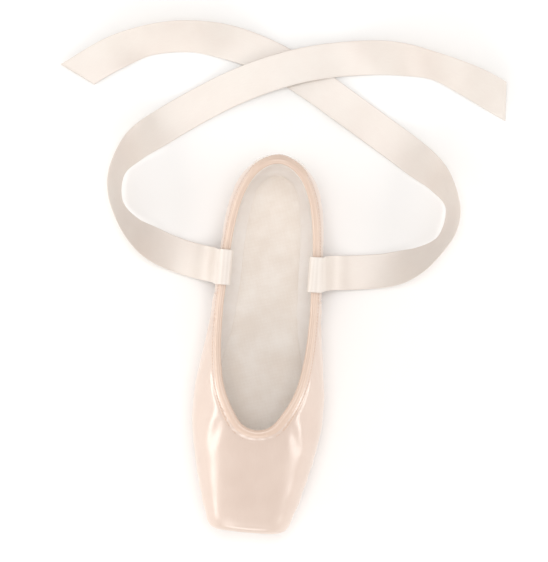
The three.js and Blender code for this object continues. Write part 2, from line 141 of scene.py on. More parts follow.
def smooth_curve(at, values):
    """A curve through rows that never swings past them (monotone cubic)."""
    at, values = np.asarray(at, float), np.asarray(values, float)
    steps = np.diff(at)
    slopes = np.diff(values) / steps
    before, after = 2 * steps[1:] + steps[:-1], steps[1:] + 2 * steps[:-1]
    same_way = slopes[:-1] * slopes[1:] > 0
    safe = [np.where(same_way, slope, 1.0) for slope in (slopes[:-1], slopes[1:])]
    inner = np.where(same_way, (before + after) / (before / safe[0] + after / safe[1]), 0.0)
    tangents = np.concatenate([slopes[:1], inner, slopes[-1:]])

    def evaluate(station):
        station = np.clip(np.asarray(station, float), at[0], at[-1])
        i = np.clip(np.searchsorted(at, station) - 1, 0, len(steps) - 1)
        t = (station - at[i]) / steps[i]
        u = 1 - t
        return (u * u * (1 + 2 * t) * values[i] + u * u * t * steps[i] * tangents[i]
                + t * t * (3 - 2 * t) * values[i + 1] - t * t * u * steps[i] * tangents[i + 1])

    return evaluate


def smooth_step(value, low, high):
    t = np.clip((value - low) / (high - low), 0, 1)
    return t * t * (3 - 2 * t)


def unit(vectors):
    return vectors / np.maximum(np.linalg.norm(vectors, axis=-1, keepdims=True), 1e-9)


def through_points(points, per_span):
    """A centripetal Catmull-Rom line through points, with so many steps from each to the next."""
    points = np.asarray(points, float)
    ends = [2 * points[0] - points[1]], [2 * points[-1] - points[-2]]
    p = np.concatenate([ends[0], points, ends[1]])
    knots = np.concatenate([[0], np.cumsum(np.linalg.norm(np.diff(p, axis=0), axis=1) ** 0.5)])
    line = []
    for i in range(1, len(points)):
        t0, t1, t2, t3 = knots[i - 1:i + 3]
        t = np.linspace(t1, t2, per_span, endpoint=False)[:, None]
        a1 = (t1 - t) / (t1 - t0) * p[i - 1] + (t - t0) / (t1 - t0) * p[i]
        a2 = (t2 - t) / (t2 - t1) * p[i] + (t - t1) / (t2 - t1) * p[i + 1]
        a3 = (t3 - t) / (t3 - t2) * p[i + 1] + (t - t2) / (t3 - t2) * p[i + 2]
        b1 = (t2 - t) / (t2 - t0) * a1 + (t - t0) / (t2 - t0) * a2
        b2 = (t3 - t) / (t3 - t1) * a2 + (t - t1) / (t3 - t1) * a3
        line.append((t2 - t) / (t2 - t1) * b1 + (t - t1) / (t2 - t1) * b2)
    return np.concatenate([*line, points[-1:]])


def line_lengths(points):
    return np.concatenate([[0], np.cumsum(np.linalg.norm(np.diff(points, axis=0), axis=1))])


def resample(points, places):
    """Points of a line at given lengths along it."""
    lengths = line_lengths(points)
    return np.stack([np.interp(places, lengths, points[:, k]) for k in range(points.shape[1])], axis=1)


def mesh_piece(name, points, faces, uvs=None, material=None):
    """A smooth-shaded mesh object from points in millimetres; uvs holds one pair for each point."""
    mesh = bpy.data.meshes.new(name)
    mesh.from_pydata((np.asarray(points) * MM).tolist(), [], [tuple(f) for f in faces])
    if uvs is not None:
        layer = mesh.uv_layers.new(name="cloth")
        corners = np.empty(len(mesh.loops), np.int32)
        mesh.loops.foreach_get("vertex_index", corners)
        layer.data.foreach_set("uv", (np.asarray(uvs)[corners] * MM).astype(np.float32).ravel())
    mesh.polygons.foreach_set("use_smooth", [True] * len(mesh.polygons))
    mesh.update()
    piece = bpy.data.objects.new(name, mesh)
    bpy.context.scene.collection.objects.link(piece)
    if material:
        mesh.materials.append(material)
    return piece


def tube_faces(rings, around, closed=False):
    """Quads over rings of points, and flat ends where the tube is open."""
    faces = []
    for i in range(rings if closed else rings - 1):
        here, there = i * around, ((i + 1) % rings) * around
        for j in range(around):
            k = (j + 1) % around
            faces.append((here + j, here + k, there + k, there + j))
    if not closed:
        faces.append(tuple(range(around - 1, -1, -1)))
        faces.append(tuple(range((rings - 1) * around, rings * around)))
    return faces


def face_outwards(piece):
    """Turns a closed mesh's faces out, if its volume says they point in."""
    mesh = piece.data
    corners = np.array([v.co for v in mesh.vertices])
    volume = 0.0
    for face in mesh.polygons:
        first, *rest = [corners[i] for i in face.vertices]
        volume += sum(np.dot(first, np.cross(a, b)) for a, b in zip(rest, rest[1:]))
    if volume < 0:
        mesh.flip_normals()
    return piece


def satin(name, colour, deep, shine, sheen, thread=0.3, floats=7.0, relief=0.02, ior=1.53):
    """Woven satin: long floats of glossy thread, so it mirrors softly across them and turns darker along
    them. Real threads are about 0.1 mm; they are drawn coarser here, so that they show. Thread, floats and
    relief are the width, the length and the height of a float, in millimetres."""
    material, tree, shader = new_material(name)
    place = add_node(tree, "ShaderNodeUVMap", {"uv_map": "cloth"}).outputs["UV"]
    threads = add_node(tree, "ShaderNodeMapping", None, Vector=place,
                       Scale=(1 / (floats * MM), 1 / (thread * MM), 1)).outputs["Vector"]
    slubs = add_node(tree, "ShaderNodeTexNoise", {"noise_dimensions": "2D"}, Vector=threads,
                     Scale=1.0, Detail=2.0, Roughness=0.6).outputs["Fac"]
    patches = add_node(tree, "ShaderNodeTexNoise", None,
                       Vector=add_node(tree, "ShaderNodeTexCoord").outputs["Object"],
                       Scale=28.0, Detail=3.0, Roughness=0.55).outputs["Fac"]
    shade = add_node(tree, "ShaderNodeMath", {"operation": "MULTIPLY_ADD"},
                     _0=slubs, _1=0.35, _2=patches).outputs[0]
    mix = add_node(tree, "ShaderNodeMapRange", None, Value=shade, From_Min=0.25, From_Max=1.05)
    colours = add_node(tree, "ShaderNodeMix", {"data_type": "RGBA"}, Factor=mix.outputs[0],
                       _6=linear(deep), _7=linear(colour))
    tree.links.new(colours.outputs[2], shader.inputs["Base Color"])
    gloss = add_node(tree, "ShaderNodeMapRange", None, Value=patches,
                     To_Min=shine - 0.04, To_Max=shine + 0.06)
    tree.links.new(gloss.outputs[0], shader.inputs["Roughness"])
    bump = add_node(tree, "ShaderNodeBump", None, Strength=0.35, Distance=relief * MM, Height=slubs)
    tree.links.new(bump.outputs[0], shader.inputs["Normal"])
    shader.inputs["IOR"].default_value = ior
    shader.inputs["Specular IOR Level"].default_value = 1.0
    shader.inputs["Anisotropic"].default_value = 0.4
    shader.inputs["Sheen Weight"].default_value = sheen
    shader.inputs["Sheen Roughness"].default_value = 0.35
    shader.inputs["Sheen Tint"].default_value = linear("#fffaf4")
    return material


RIBBON_WIDTH = 22
RIBBON_HALF_THICK = 0.16
SELVEDGE = 1.1  # width of the woven edge
SELVEDGE_HALF_THICK = 0.25
RIBBON_RIM_HALF_THICK = 0.08
END_SLANT = 6
RIPPLE = 0.22  # how far its two edges rock
CUP = 0.35  # how far its middle bows

# Each row: x, y, z, then where the width points, in plan and up from level, in degrees.
RIBBON_ROUTES = {
    "left": (1, [
        (-46.0, 24.0, 40.4, 0, -4), (-46.0, 24.6, 44.3, 0, -4), (-46.0, 27.3, 46.2, 0, -4),
        (-46.1, 30.3, 45.4, 1, -4), (-46.3, 32.5, 41.8, 2, -3), (-46.6, 33.4, 36.0, 3, -2),
        (-47.0, 34.2, 27.0, 4, 0), (-47.5, 35.6, 17.5, 5, 2), (-48.2, 38.8, 9.0, 6, 3),
        (-49.0, 46.5, 3.4, 8, 4), (-50.4, 58.0, 1.8, 10, 5), (-53.6, 76.0, 3.6, 16, 13),
        (-61.5, 94.0, 9.0, 36, 46), (-77.0, 109.0, 11.2, 70, 70), (-96.5, 112.0, 11.2, 108, 70),
        (-113.5, 101.5, 8.8, 134, 44), (-127.5, 83.0, 3.6, 146, 12), (-141.0, 61.5, 1.0, 149, 0),
        (-154.5, 39.0, 1.6, 149, -3), (-168.0, 16.0, 1.0, 151, 0), (-180.5, -9.0, 1.0, 158, 0),
        (-188.5, -36.0, 3.0, 170, 9), (-190.5, -63.0, 6.6, 183, 30), (-185.5, -90.0, 7.2, 197, 34),
        (-174.5, -113.5, 3.4, 208, 12), (-160.5, -133.5, 1.4, 218, 3)]),
    "right": (-1, [
        (-46.0, -24.0, 40.4, 0, -4), (-46.0, -24.6, 44.3, 0, -4), (-46.0, -27.3, 46.2, 0, -4),
        (-46.0, -30.3, 45.4, 0, -4), (-46.0, -32.5, 41.8, 0, -3), (-46.1, -33.4, 36.0, 1, -2),
        (-46.3, -34.2, 27.0, 1, 0), (-46.7, -35.4, 17.5, 2, 2), (-47.2, -38.2, 9.0, 4, 3),
        (-48.2, -45.5, 3.6, 7, 5), (-50.4, -57.0, 2.2, 12, 7), (-55.6, -73.0, 4.8, 22, 18),
        (-65.5, -89.5, 9.6, 43, 52), (-82.0, -101.5, 11.3, 76, 72), (-101.0, -102.5, 11.0, 108, 66),
        (-118.0, -92.5, 7.8, 131, 36), (-132.5, -75.5, 3.0, 141, 8), (-146.5, -56.0, 1.4, 145, 0),
        (-159.5, -35.0, 2.8, 149, 0), (-170.5, -12.5, 5.2, 155, 0), (-179.5, 12.0, 4.4, 161, 0),
        (-185.5, 38.5, 2.2, 169, 4), (-188.0, 65.5, 4.8, 179, 20), (-185.0, 92.5, 8.8, 191, 44),
        (-177.0, 117.5, 6.0, 200, 26), (-167.0, 140.5, 1.8, 206, 5)]),
}

ribbon_satin = satin("ribbon_satin", "#eae3db", "#dfd2c9", 0.40, 0.30, thread=0.28, floats=5.0, relief=0.015)


def ribbon_frames(side, rows, step=1.2):
    """The ribbon's middle line, and its width and thickness directions, every step millimetres."""
    rows = np.array(rows, float)
    per_span = 24
    line = through_points(rows[:, :3], per_span)
    lengths = line_lengths(line)
    row_places = lengths[::per_span]
    places = np.linspace(0, lengths[-1], round(lengths[-1] / step))
    middle = resample(line, places)
    forward = unit(np.gradient(middle, axis=0))
    heading = np.radians(smooth_curve(row_places, rows[:, 3])(places))
    lean = np.radians(smooth_curve(row_places, rows[:, 4])(places))
    across = np.stack([np.cos(heading) * np.cos(lean), side * np.sin(heading) * np.cos(lean),
                       np.sin(lean)], axis=1)
    across = unit(across - forward * np.sum(across * forward, axis=1, keepdims=True))
    return places, middle, forward, across, np.cross(forward, across)


def ribbon_mesh(name, side, rows):
    """A ribbon along its route, with thicker selvedges and an end cut on a slant, and its middle line."""
    places, middle, forward, across, up = ribbon_frames(side, rows)
    shares = np.concatenate([[-1, -0.985, -0.955, -0.9, -0.88], np.linspace(-0.8, 0.8, 13),
                             [0.88, 0.9, 0.955, 0.985, 1]])
    edge = np.abs(shares) * RIBBON_WIDTH / 2 > RIBBON_WIDTH / 2 - SELVEDGE
    thick = np.where(edge, SELVEDGE_HALF_THICK, RIBBON_HALF_THICK)
    thick[[0, -1]] = RIBBON_RIM_HALF_THICK
    outline = [(t, h) for t, h in zip(shares, thick)] + [(t, -h) for t, h in zip(shares[::-1], thick[::-1])]
    t, h = np.array(outline).T
    total = places[-1]
    from_end = total - places
    slant = END_SLANT * side * np.exp(-from_end / 9)
    ripple = RIPPLE * np.sin(places / 7.3 + side) * smooth_step(places, 60, 90)
    cup = CUP * np.sin(places / 31 + 2 * side) * smooth_step(places, 40, 80)
    lift = ripple[:, None] * t * 0.6 + cup[:, None] * (t ** 2 - 0.4) + h
    points = (middle[:, None] + across[:, None] * (t * RIBBON_WIDTH / 2)[None, :, None]
              + up[:, None] * lift[..., None] + forward[:, None] * (slant[:, None] * t)[..., None])
    points[..., 2] = np.maximum(points[..., 2], 0.12 + (h - h.min())[None, :])
    uvs = np.stack(np.broadcast_arrays(places[:, None], (t * RIBBON_WIDTH / 2)[None, :]), axis=-1)
    piece = mesh_piece(name, points.reshape(-1, 3), tube_faces(len(places), len(t)),
                       uvs.reshape(-1, 2), ribbon_satin)
    return face_outwards(piece), middle


for ribbon_name, (ribbon_side, ribbon_rows) in RIBBON_ROUTES.items():
    ribbon_piece, ribbon_line = ribbon_mesh(f"ribbon_{ribbon_name}_satin", ribbon_side, ribbon_rows)
    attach(ribbon_piece, "root")
    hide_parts(f"ribbon_{ribbon_name}")

# --------------------------------------------------------------------------------------------------
# Upper. Peach satin over canvas, pulled down over the last: one vamp with the stiff box inside it, and two
# quarters joined to it by a seam on each side. Under the toe the satin is gathered in pleats that run
# from the sole's front end to the platform.

LENGTH = 235
BALL_WIDTH = 81
INSTEP_HEIGHT = 60
SOLE_THICKNESS = 3
GAP = 0.3
WIDEST_LEVEL = 0.37

# Each row: place in percent of the length; width in percent of the ball width; top in percent of the
# instep height; rise of the underside; wall; fullness of the upper and of the lower half (2 is an ellipse).
LAST = np.array([
    (0.0, 7.4, 74.0, 16.7, 2.2, 2.0, 2.4), (0.4, 18.5, 84.0, 9.4, 2.2, 2.0, 2.5),
    (1.3, 30.4, 95.5, 4.9, 2.2, 2.0, 2.6), (2.6, 41.0, 103.0, 2.2, 2.2, 2.0, 2.8),
    (4.3, 50.2, 108.5, 0.7, 2.2, 2.0, 3.0), (6.4, 58.4, 111.5, 0.0, 2.2, 2.0, 3.1),
    (12.8, 70.8, 112.0, 0.0, 2.1, 2.0, 3.3), (21.3, 76.8, 108.0, 0.0, 2.0, 2.0, 3.4),
    (34.0, 80.2, 102.0, 1.6, 2.0, 2.0, 3.3), (40.4, 82.5, 100.5, 2.3, 2.0, 2.0, 3.3),
    (46.8, 86.4, 100.8, 1.8, 2.0, 2.0, 3.5), (56.2, 94.0, 101.6, 0.0, 2.0, 2.0, 4.2),
    (63.8, 99.5, 98.9, 0.0, 2.2, 2.0, 4.4), (70.2, 99.3, 92.2, 0.0, 2.5, 2.0, 4.2),
    (74.5, 96.6, 86.9, 0.0, 2.8, 2.1, 3.9), (78.7, 92.6, 82.0, 0.3, 3.0, 2.15, 3.5),
    (84.3, 85.4, 75.2, 1.0, 3.0, 2.2, 3.1), (90.2, 76.8, 68.2, 2.4, 3.0, 2.3, 2.9),
    (94.9, 68.6, 62.6, 3.8, 3.2, 2.4, 2.7), (98.1, 62.0, 58.6, 4.9, 3.6, 2.5, 2.6),
    (99.4, 57.0, 56.4, 5.9, 3.8, 2.5, 2.6), (100.0, 50.2, 53.0, 7.8, 3.8, 2.5, 2.6)])
# Each row: place in percent of the length; the opening's width in percent of the last's.
OPENING = np.array([
    (1.0, 0), (2.1, 56.0), (4.3, 72.5), (8.5, 80.5), (17.0, 86.8), (27.7, 89.6), (38.3, 89.4),
    (46.8, 83.8), (56.2, 71.2), (63.8, 55.2), (68.9, 38.6), (71.6, 26.6), (73.2, 0)])
# Each row: place in percent of the length; the outsole's half-width in percent of the ball width.
OUTSOLE = np.array([
    (3.4, 0.0), (6.4, 13.4), (12.0, 19.2), (19.0, 19.8), (32.0, 16.8), (40.5, 16.6), (51.0, 22.4),
    (61.7, 31.0), (70.2, 35.2), (76.6, 33.6), (81.7, 25.4), (84.3, 13.4), (85.2, 0.0)])

last_stations = LAST[:, 0] * LENGTH / 100
half_width = smooth_curve(last_stations, LAST[:, 1] * BALL_WIDTH / 200)
top_height = smooth_curve(last_stations, LAST[:, 2] * INSTEP_HEIGHT / 100)
rise = smooth_curve(last_stations, LAST[:, 3])
wall = smooth_curve(last_stations, LAST[:, 4])
crown = smooth_curve(last_stations, LAST[:, 5])
square = smooth_curve(last_stations, LAST[:, 6])
open_squared = smooth_curve(OPENING[:, 0] * LENGTH / 100, (OPENING[:, 1] / 100) ** 2)
sole_half_squared = smooth_curve(OUTSOLE[:, 0] * LENGTH / 100, (OUTSOLE[:, 1] * BALL_WIDTH / 100) ** 2)
OPENING_BACK, THROAT = OPENING[[0, -1], 0] * LENGTH / 100
SOLE_BACK, SOLE_FRONT = OUTSOLE[[0, -1], 0] * LENGTH / 100
HEEL_SEAT = 0.064 * LENGTH
SOLE_MARGIN = 8.5


def open_share(station):
    inside = (station > OPENING_BACK) & (station < THROAT)
    return np.where(inside, np.sqrt(np.maximum(open_squared(station), 0)), 0.0)


def sole_half(station):
    inside = (station >= SOLE_BACK) & (station <= SOLE_FRONT)
    return np.where(inside, np.sqrt(np.maximum(sole_half_squared(station), 0)), 0.0)


def sole_rise(station):
    return np.where(station < HEEL_SEAT, 0.0, rise(station))


def section(station, side_grow=0.0, low_grow=0.0):
    """A section's half-width, top, bottom and widest level."""
    low = SOLE_THICKNESS + GAP + rise(station)
    high = top_height(station)
    level = low + WIDEST_LEVEL * (high - low)
    return half_width(station) + side_grow, high + side_grow, low - low_grow, level


def section_point(station, angle, side_grow=0.0, low_grow=0.0):
    """y and z of a section at an angle up from its widest level, on the left side."""
    half, high, low, level = section(station, side_grow, low_grow)
    upper_half = angle >= 0
    fullness = np.where(upper_half, crown(station), square(station))
    reach = np.where(upper_half, high - level, level - low)
    y = half * np.abs(np.cos(angle)) ** (2 / fullness)
    z = level + np.sign(angle) * reach * np.abs(np.sin(angle)) ** (2 / fullness)
    return y, z


def crowding(cut):
    """How sharply the rows of a grid crowd together beside an opening that takes this share of them."""
    return max(min(0.85 / max(abs(cut), 0.001), 24), 1)


def half_skin(stations, rows, side_grow=0.0, low_grow=0.0, x_of=None, bottom_share=None):
    """A grid over the left half of the last, from its underside up to the topline or the crown.

    bottom_share says how far in from the widest point the skin starts, as a share of the width. The arcs
    that come with the grid are lengths round the last, counted from the crown.
    """
    grid = np.empty((len(stations), rows, 3))
    arcs = np.empty((len(stations), rows))
    shares = np.linspace(0, 1, rows)
    angles = np.sin(np.linspace(-1, 1, 400) * math.pi / 2) * math.pi / 2
    for i, station in enumerate(stations):
        bottom = 0.0 if bottom_share is None else float(bottom_share(station))
        first = -math.acos(min(bottom, 1) ** (float(square(station)) / 2))
        last = math.acos(min(float(open_share(station)), 1) ** (float(crown(station)) / 2))
        line = np.stack(section_point(station, angles, side_grow, low_grow), axis=1)
        lengths = line_lengths(line)
        low_cut, high_cut = np.interp((first, last), angles, lengths / lengths[-1]) - (0, 1)
        # the rows crowd together only beside an opening, so that they run straight past its end
        places = shares + low_cut * (1 - shares) ** crowding(low_cut)
        places += high_cut * shares ** crowding(high_cut)
        places *= lengths[-1]
        grid[i, :, 0] = station - LENGTH / 2 if x_of is None else x_of(station)
        grid[i, :, 1:] = resample(line, places)
        arcs[i] = places - lengths[-1]
    return grid, arcs


def grid_normals(grid):
    """Outward normals of a left-half grid."""
    along, around = np.gradient(grid, axis=0), np.gradient(grid, axis=1)
    return unit(np.cross(around, along))


def rounded_steps(start, end, count):
    """Steps from start to end, closer together near both."""
    return (start + end) / 2 - (end - start) / 2 * np.cos(np.linspace(0, math.pi, count))


def grid_faces(rows, columns, flip=False, offset=0):
    i, j = np.meshgrid(np.arange(rows - 1), np.arange(columns - 1), indexing="ij")
    a = (i * columns + j + offset).ravel()
    quads = np.stack([a, a + columns, a + columns + 1, a + 1], axis=1)
    return quads[:, ::-1] if flip else quads


def topline_line(count=1600):
    """The topline all the way round, as points with the directions out of the wall and away from its edge."""
    angle = np.linspace(0, 2 * math.pi, count, endpoint=False)
    station = (THROAT + OPENING_BACK) / 2 + (THROAT - OPENING_BACK) / 2 * np.cos(angle)
    share = np.sqrt(np.maximum(open_squared(station), 0))
    _, high, _, level = section(station)
    z = level + (high - level) * (1 - share ** crown(station)) ** (1 / crown(station))
    points = np.stack([station - LENGTH / 2, np.sign(np.sin(angle)) * half_width(station) * share, z], axis=1)
    points[[0, count // 2], 1] = 0
    lengths = line_lengths(np.concatenate([points, points[:1]]))
    even = np.linspace(0, lengths[-1], count, endpoint=False)
    points = resample(np.concatenate([points, points[:1]]), even)
    forward = unit(np.roll(points, -3, axis=0) - np.roll(points, 3, axis=0))

    def distance(p):
        half, high_p, _, level_p = section(p[:, 0] + LENGTH / 2)
        return np.hypot(p[:, 1] / half, (p[:, 2] - level_p) / (high_p - level_p))

    out = np.stack([distance(points + d) - distance(points - d) for d in np.eye(3) * 0.3], axis=1)
    out = unit(out - forward * np.sum(out * forward, axis=1, keepdims=True))
    return points, even, out, np.cross(forward, out)


edge_points, edge_places, edge_out, edge_away = topline_line()
EDGE_LENGTH = edge_places[-1] + edge_places[1]


def from_topline(points):
    """Each point's distance from the topline, and where along the topline it is nearest."""
    distance, place = np.empty(len(points)), np.empty(len(points))
    for start in range(0, len(points), 4000):
        gaps = np.linalg.norm(points[start:start + 4000, None] - edge_points[None, ::2], axis=2)
        nearest = gaps.argmin(axis=1)
        distance[start:start + 4000] = gaps[np.arange(len(gaps)), nearest]
        place[start:start + 4000] = edge_places[::2][nearest]
    return distance, place


SEAM_STATION = 87
SEAM_GROOVE = 0.75
SEAM_LAP = 0.32
PLEAT_CENTRE = 176
PLEAT_SPREAD = math.radians(12.5)
PLEAT_DEPTH = 2.1
PUCKER_PITCH = 4.3
PUCKER_DEPTH = 0.13
BINDING_LINE = 5.0  # where the binding's lower edge lies, away from the topline

# Soft troughs and ridges. Each row: which side (1 for the left, -1 for the right); a trough from
# (station, height) to (station, height); its half-width; its depth, below 0 for a ridge.
SIDE_CREASES = [
    (1, 92, 38, 104, 22, 2.0, 0.55), (1, 97, 40, 116, 30, 2.2, 0.40), (1, 84, 34, 74, 18, 2.0, 0.45),
    (1, 90, 30, 99, 14, 1.8, 0.35), (1, 118, 44, 140, 36, 2.6, 0.35), (1, 60, 36, 50, 20, 2.4, 0.35),
    (1, 104, 9, 128, 13, 2.4, 0.50), (1, 70, 10, 92, 9, 2.2, 0.45), (1, 30, 40, 24, 22, 2.2, 0.30),
    (1, 150, 46, 176, 37, 3.4, 0.30), (1, 112, 18, 134, 22, 2.8, -0.35),
    (-1, 93, 37, 107, 25, 2.2, 0.50), (-1, 99, 42, 120, 34, 2.4, 0.40), (-1, 82, 36, 72, 24, 2.0, 0.40),
    (-1, 88, 28, 97, 12, 1.8, 0.40), (-1, 124, 46, 146, 37, 2.6, 0.30), (-1, 56, 34, 47, 17, 2.4, 0.35),
    (-1, 108, 10, 132, 12, 2.6, 0.45), (-1, 74, 9, 96, 10, 2.2, 0.40), (-1, 26, 38, 22, 20, 2.2, 0.30),
    (-1, 154, 44, 180, 34, 3.4, 0.30), (-1, 40, 44, 34, 30, 2.0, 0.28),
]
# The same over the top of the vamp. Each row: from (station, y) to (station, y); half-width; depth.
VAMP_CREASES = [
    (166, 22, 184, 27, 2.6, 0.28), (164, -22, 186, -28, 2.8, 0.30), (178, 9, 200, 14, 3.2, 0.16),
    (180, -8, 206, -13, 3.4, 0.18), (156, 27, 170, 33, 2.6, 0.30), (154, -28, 172, -34, 2.6, 0.30),
    (205, 3, 226, 5, 3.6, 0.14), (176, 0, 190, 1, 4.0, -0.12),
]


def trough(a, b, start, end, width):
    """How deep in a soft trough each point (a, b) is, from 0 to 1; it dies away at both ends."""
    run = np.subtract(end, start)
    t = ((a - start[0]) * run[0] + (b - start[1]) * run[1]) / (run @ run)
    gap = np.hypot(a - start[0] - run[0] * np.clip(t, 0, 1), b - start[1] - run[1] * np.clip(t, 0, 1))
    fade = np.sin(np.clip(t, 0, 1) * math.pi) ** 0.7
    return fade * (np.exp(-(gap / width) ** 2) - 0.45 * np.exp(-((gap - 1.9 * width) / width) ** 2))


def satin_relief(points):
    """How far the satin stands off the last at each point, in millimetres."""
    x, y, z = points.T
    station = x + LENGTH / 2
    half, high, low, level = section(station)
    relief = np.zeros(len(points))
    # pleats under the toe
    turn = np.arctan2(y, station - PLEAT_CENTRE)
    reach = np.hypot(y, station - PLEAT_CENTRE)
    phase = turn / PLEAT_SPREAD + 0.30 * np.sin(2.1 * turn + 0.8) + 0.012 * (reach - 30)
    fold = (np.sin(math.pi * phase) ** 2 + 0.03) ** 0.31 - 0.65
    depth = PLEAT_DEPTH * smooth_step(reach, 22, 30) * (1 - 0.55 * smooth_step(reach, 38, 58))
    depth *= (1 - smooth_step(z - low, 7, 20)) * (1 - smooth_step(station, 230, 235))
    depth *= smooth_step(station, PLEAT_CENTRE - 14, PLEAT_CENTRE + 8)
    relief += depth * fold
    # side seams: the vamp laps over the quarter and is stitched down
    past = station - (SEAM_STATION + 0.10 * (z - 20) + 0.5 * np.sin(z / 9))
    below_crown = (station < THROAT) & (np.abs(y) > 0.25 * half)
    relief += below_crown * (-SEAM_GROOVE * np.exp(-(past / 0.6) ** 2)
                             + SEAM_LAP * (smooth_step(past, 0.0, 0.8) - smooth_step(past, 5.5, 10))
                             - 0.16 * np.exp(-((past - 2.2) / 0.6) ** 2))
    # creases
    for side, s0, z0, s1, z1, width, deep in SIDE_CREASES:
        mask = (y * side > 0) & (np.abs(y) > 0.3 * half)
        relief[mask] -= deep * trough(station[mask], z[mask], (s0, z0), (s1, z1), width)
    on_top = z > level
    for s0, y0, s1, y1, width, deep in VAMP_CREASES:
        relief[on_top] -= deep * trough(station[on_top], y[on_top], (s0, y0), (s1, y1), width)
    # soft unevenness of cloth over canvas
    relief += 0.10 * np.sin(station / 8.3 + y / 11) * np.sin(z / 7.1 + station / 23 + 1)
    relief += 0.05 * np.sin(station / 3.7 - z / 4.9 + y / 9)
    relief *= smooth_step(station, 5, 16)  # the strip holds the heel's back smooth
    # the drawn-up binding puckers the satin next to it
    near, place = from_topline(points)
    relief *= smooth_step(near, 2.0, 5.2)
    gather = np.exp(-np.maximum(near - BINDING_LINE, 0) / 3.2) * smooth_step(near, 2, BINDING_LINE)
    relief += PUCKER_DEPTH * gather * np.sin(2 * math.pi * place / PUCKER_PITCH + 1.5 * np.sin(place / 17))
    relief -= 0.30 * np.exp(-((near - BINDING_LINE) / 1.1) ** 2)
    return relief


def seam_crowded_steps(count, share=0.2, reach=6.5):
    """Steps from the opening's back to the throat, with a share of them drawn to the side seam."""
    steps = rounded_steps(OPENING_BACK, THROAT, 4000)
    middle = SEAM_STATION + 2
    drawn = smooth_step(steps, middle - reach, middle + reach)
    before = np.linspace(0, 1 - share, len(steps)) + share * drawn
    return np.interp(np.linspace(0, 1, count), before, steps)


PLATFORM_TURN = 0.975 * LENGTH  # where the box begins to round over into the platform
UPPER_STATIONS = np.concatenate([
    np.linspace(0, OPENING_BACK, 8)[:-1], seam_crowded_steps(129)[:-1],
    THROAT + (SOLE_FRONT - THROAT) * np.linspace(0, 1, 31)[:-1] ** 1.5,
    np.linspace(SOLE_FRONT, PLATFORM_TURN, 53)[:-1], np.linspace(PLATFORM_TURN, LENGTH, 20)])
UPPER_ROWS = 96
CAP_SHARES = np.linspace(0.94, 0, 9)
PLATFORM_DISH = -0.25
SATIN_THICKNESS = 0.7


def cap_rings(ring, level, dish):
    """Rings that close an end, shrinking towards its middle."""
    rings = []
    for share in CAP_SHARES:
        small = ring.copy()
        small[:, 1] = ring[:, 1] * share
        small[:, 2] = level + (ring[:, 2] - level) * share
        small[:, 0] += dish * (1 - share ** 2)
        rings.append(small)
    return np.array(rings)


def join_halves(left, arcs, runs, relief):
    """A whole skin from its left half: points, faces and cloth coordinates."""
    rows, columns = left.shape[:2]
    points, faces, uvs = [], [], []
    for number, side in enumerate((1, -1)):
        flat = (left * (1, side, 1)).reshape(-1, 3)
        out = grid_normals(left) * (1, side, 1)
        half = flat + out.reshape(-1, 3) * relief(flat)[:, None]
        half[:, 1] = np.where(np.abs(flat[:, 1]) < 1e-6, 0, half[:, 1])
        points.append(half)
        faces.append(grid_faces(rows, columns, flip=side < 0, offset=number * rows * columns))
        uvs.append(np.stack([np.broadcast_to(runs[:, None], arcs.shape), arcs * side], -1).reshape(-1, 2))
    return np.concatenate(points), np.concatenate(faces), np.concatenate(uvs)


def capped_skin(grid, arcs, runs, dish, relief):
    """A whole skin from the grid of its left half, closed at the heel's back and at the platform."""
    toe_level, heel_level = float(section(LENGTH)[3]), float(section(0)[3])
    toe_cap = cap_rings(grid[-1], toe_level, dish)
    heel_cap = cap_rings(grid[0], heel_level, 0.0)[::-1]
    all_arcs = np.concatenate([arcs[:1].repeat(len(heel_cap), 0), arcs,
                               arcs[-1:] * np.maximum(CAP_SHARES, 0.02)[:, None]])
    return join_halves(np.concatenate([heel_cap, grid, toe_cap]), all_arcs, runs, relief)


def weld(piece, reach=0.02):
    """Joins points that lie together, and leaves out faces that have shrunk to nothing."""
    made = bmesh.new()
    made.from_mesh(piece.data)
    bmesh.ops.remove_doubles(made, verts=made.verts, dist=reach * MM)
    bmesh.ops.dissolve_degenerate(made, edges=made.edges, dist=1e-7)
    made.to_mesh(piece.data)
    made.free()
    return piece


def apply_modifiers(piece):
    """Turns a piece with its modifiers into a plain mesh."""
    depsgraph = bpy.context.evaluated_depsgraph_get()
    plain = bpy.data.meshes.new_from_object(piece.evaluated_get(depsgraph))
    piece.modifiers.clear()
    piece.data = plain
    return piece


def thicken(piece, thickness, offset=-1.0):
    """Gives a skin a wall, inwards with offset -1 and outwards with 1."""
    shell = piece.modifiers.new("wall", "SOLIDIFY")
    shell.thickness = thickness * MM
    shell.offset = offset
    shell.use_rim = True
    return apply_modifiers(piece)


def sole_opening_share(station):
    """How far in from the sides the turned-under satin comes, under the outsole."""
    return np.clip((sole_half(station) - SOLE_MARGIN) / half_width(station), 0, 1)


# its index of refraction is above that of real satin, so that the long highlights come out bright
upper_satin = satin("peach_satin", "#dfcabc", "#d2bbad", 0.30, 0.32, ior=1.72)
outer_grid, outer_arcs = half_skin(UPPER_STATIONS, UPPER_ROWS, bottom_share=sole_opening_share)
upper_runs = np.concatenate([np.full(len(CAP_SHARES), -2.0), UPPER_STATIONS, LENGTH + (1 - CAP_SHARES) * 14])
upper_piece = mesh_piece(
    "upper_satin", *capped_skin(outer_grid, outer_arcs, upper_runs, PLATFORM_DISH, satin_relief), upper_satin)
thicken(weld(upper_piece), SATIN_THICKNESS)
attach(upper_piece, "root")
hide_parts("upper")

# --------------------------------------------------------------------------------------------------
# Lining. Plain off-white cotton, glued inside the quarters and the vamp, a wall's thickness in from the
# satin. It shows in the opening.

HEEL_WALL = 2.2
TOE_WALL = 5
BOTTOM_WALL = 2
LINING_THICKNESS = 0.5
LINING_BACK = 1.1


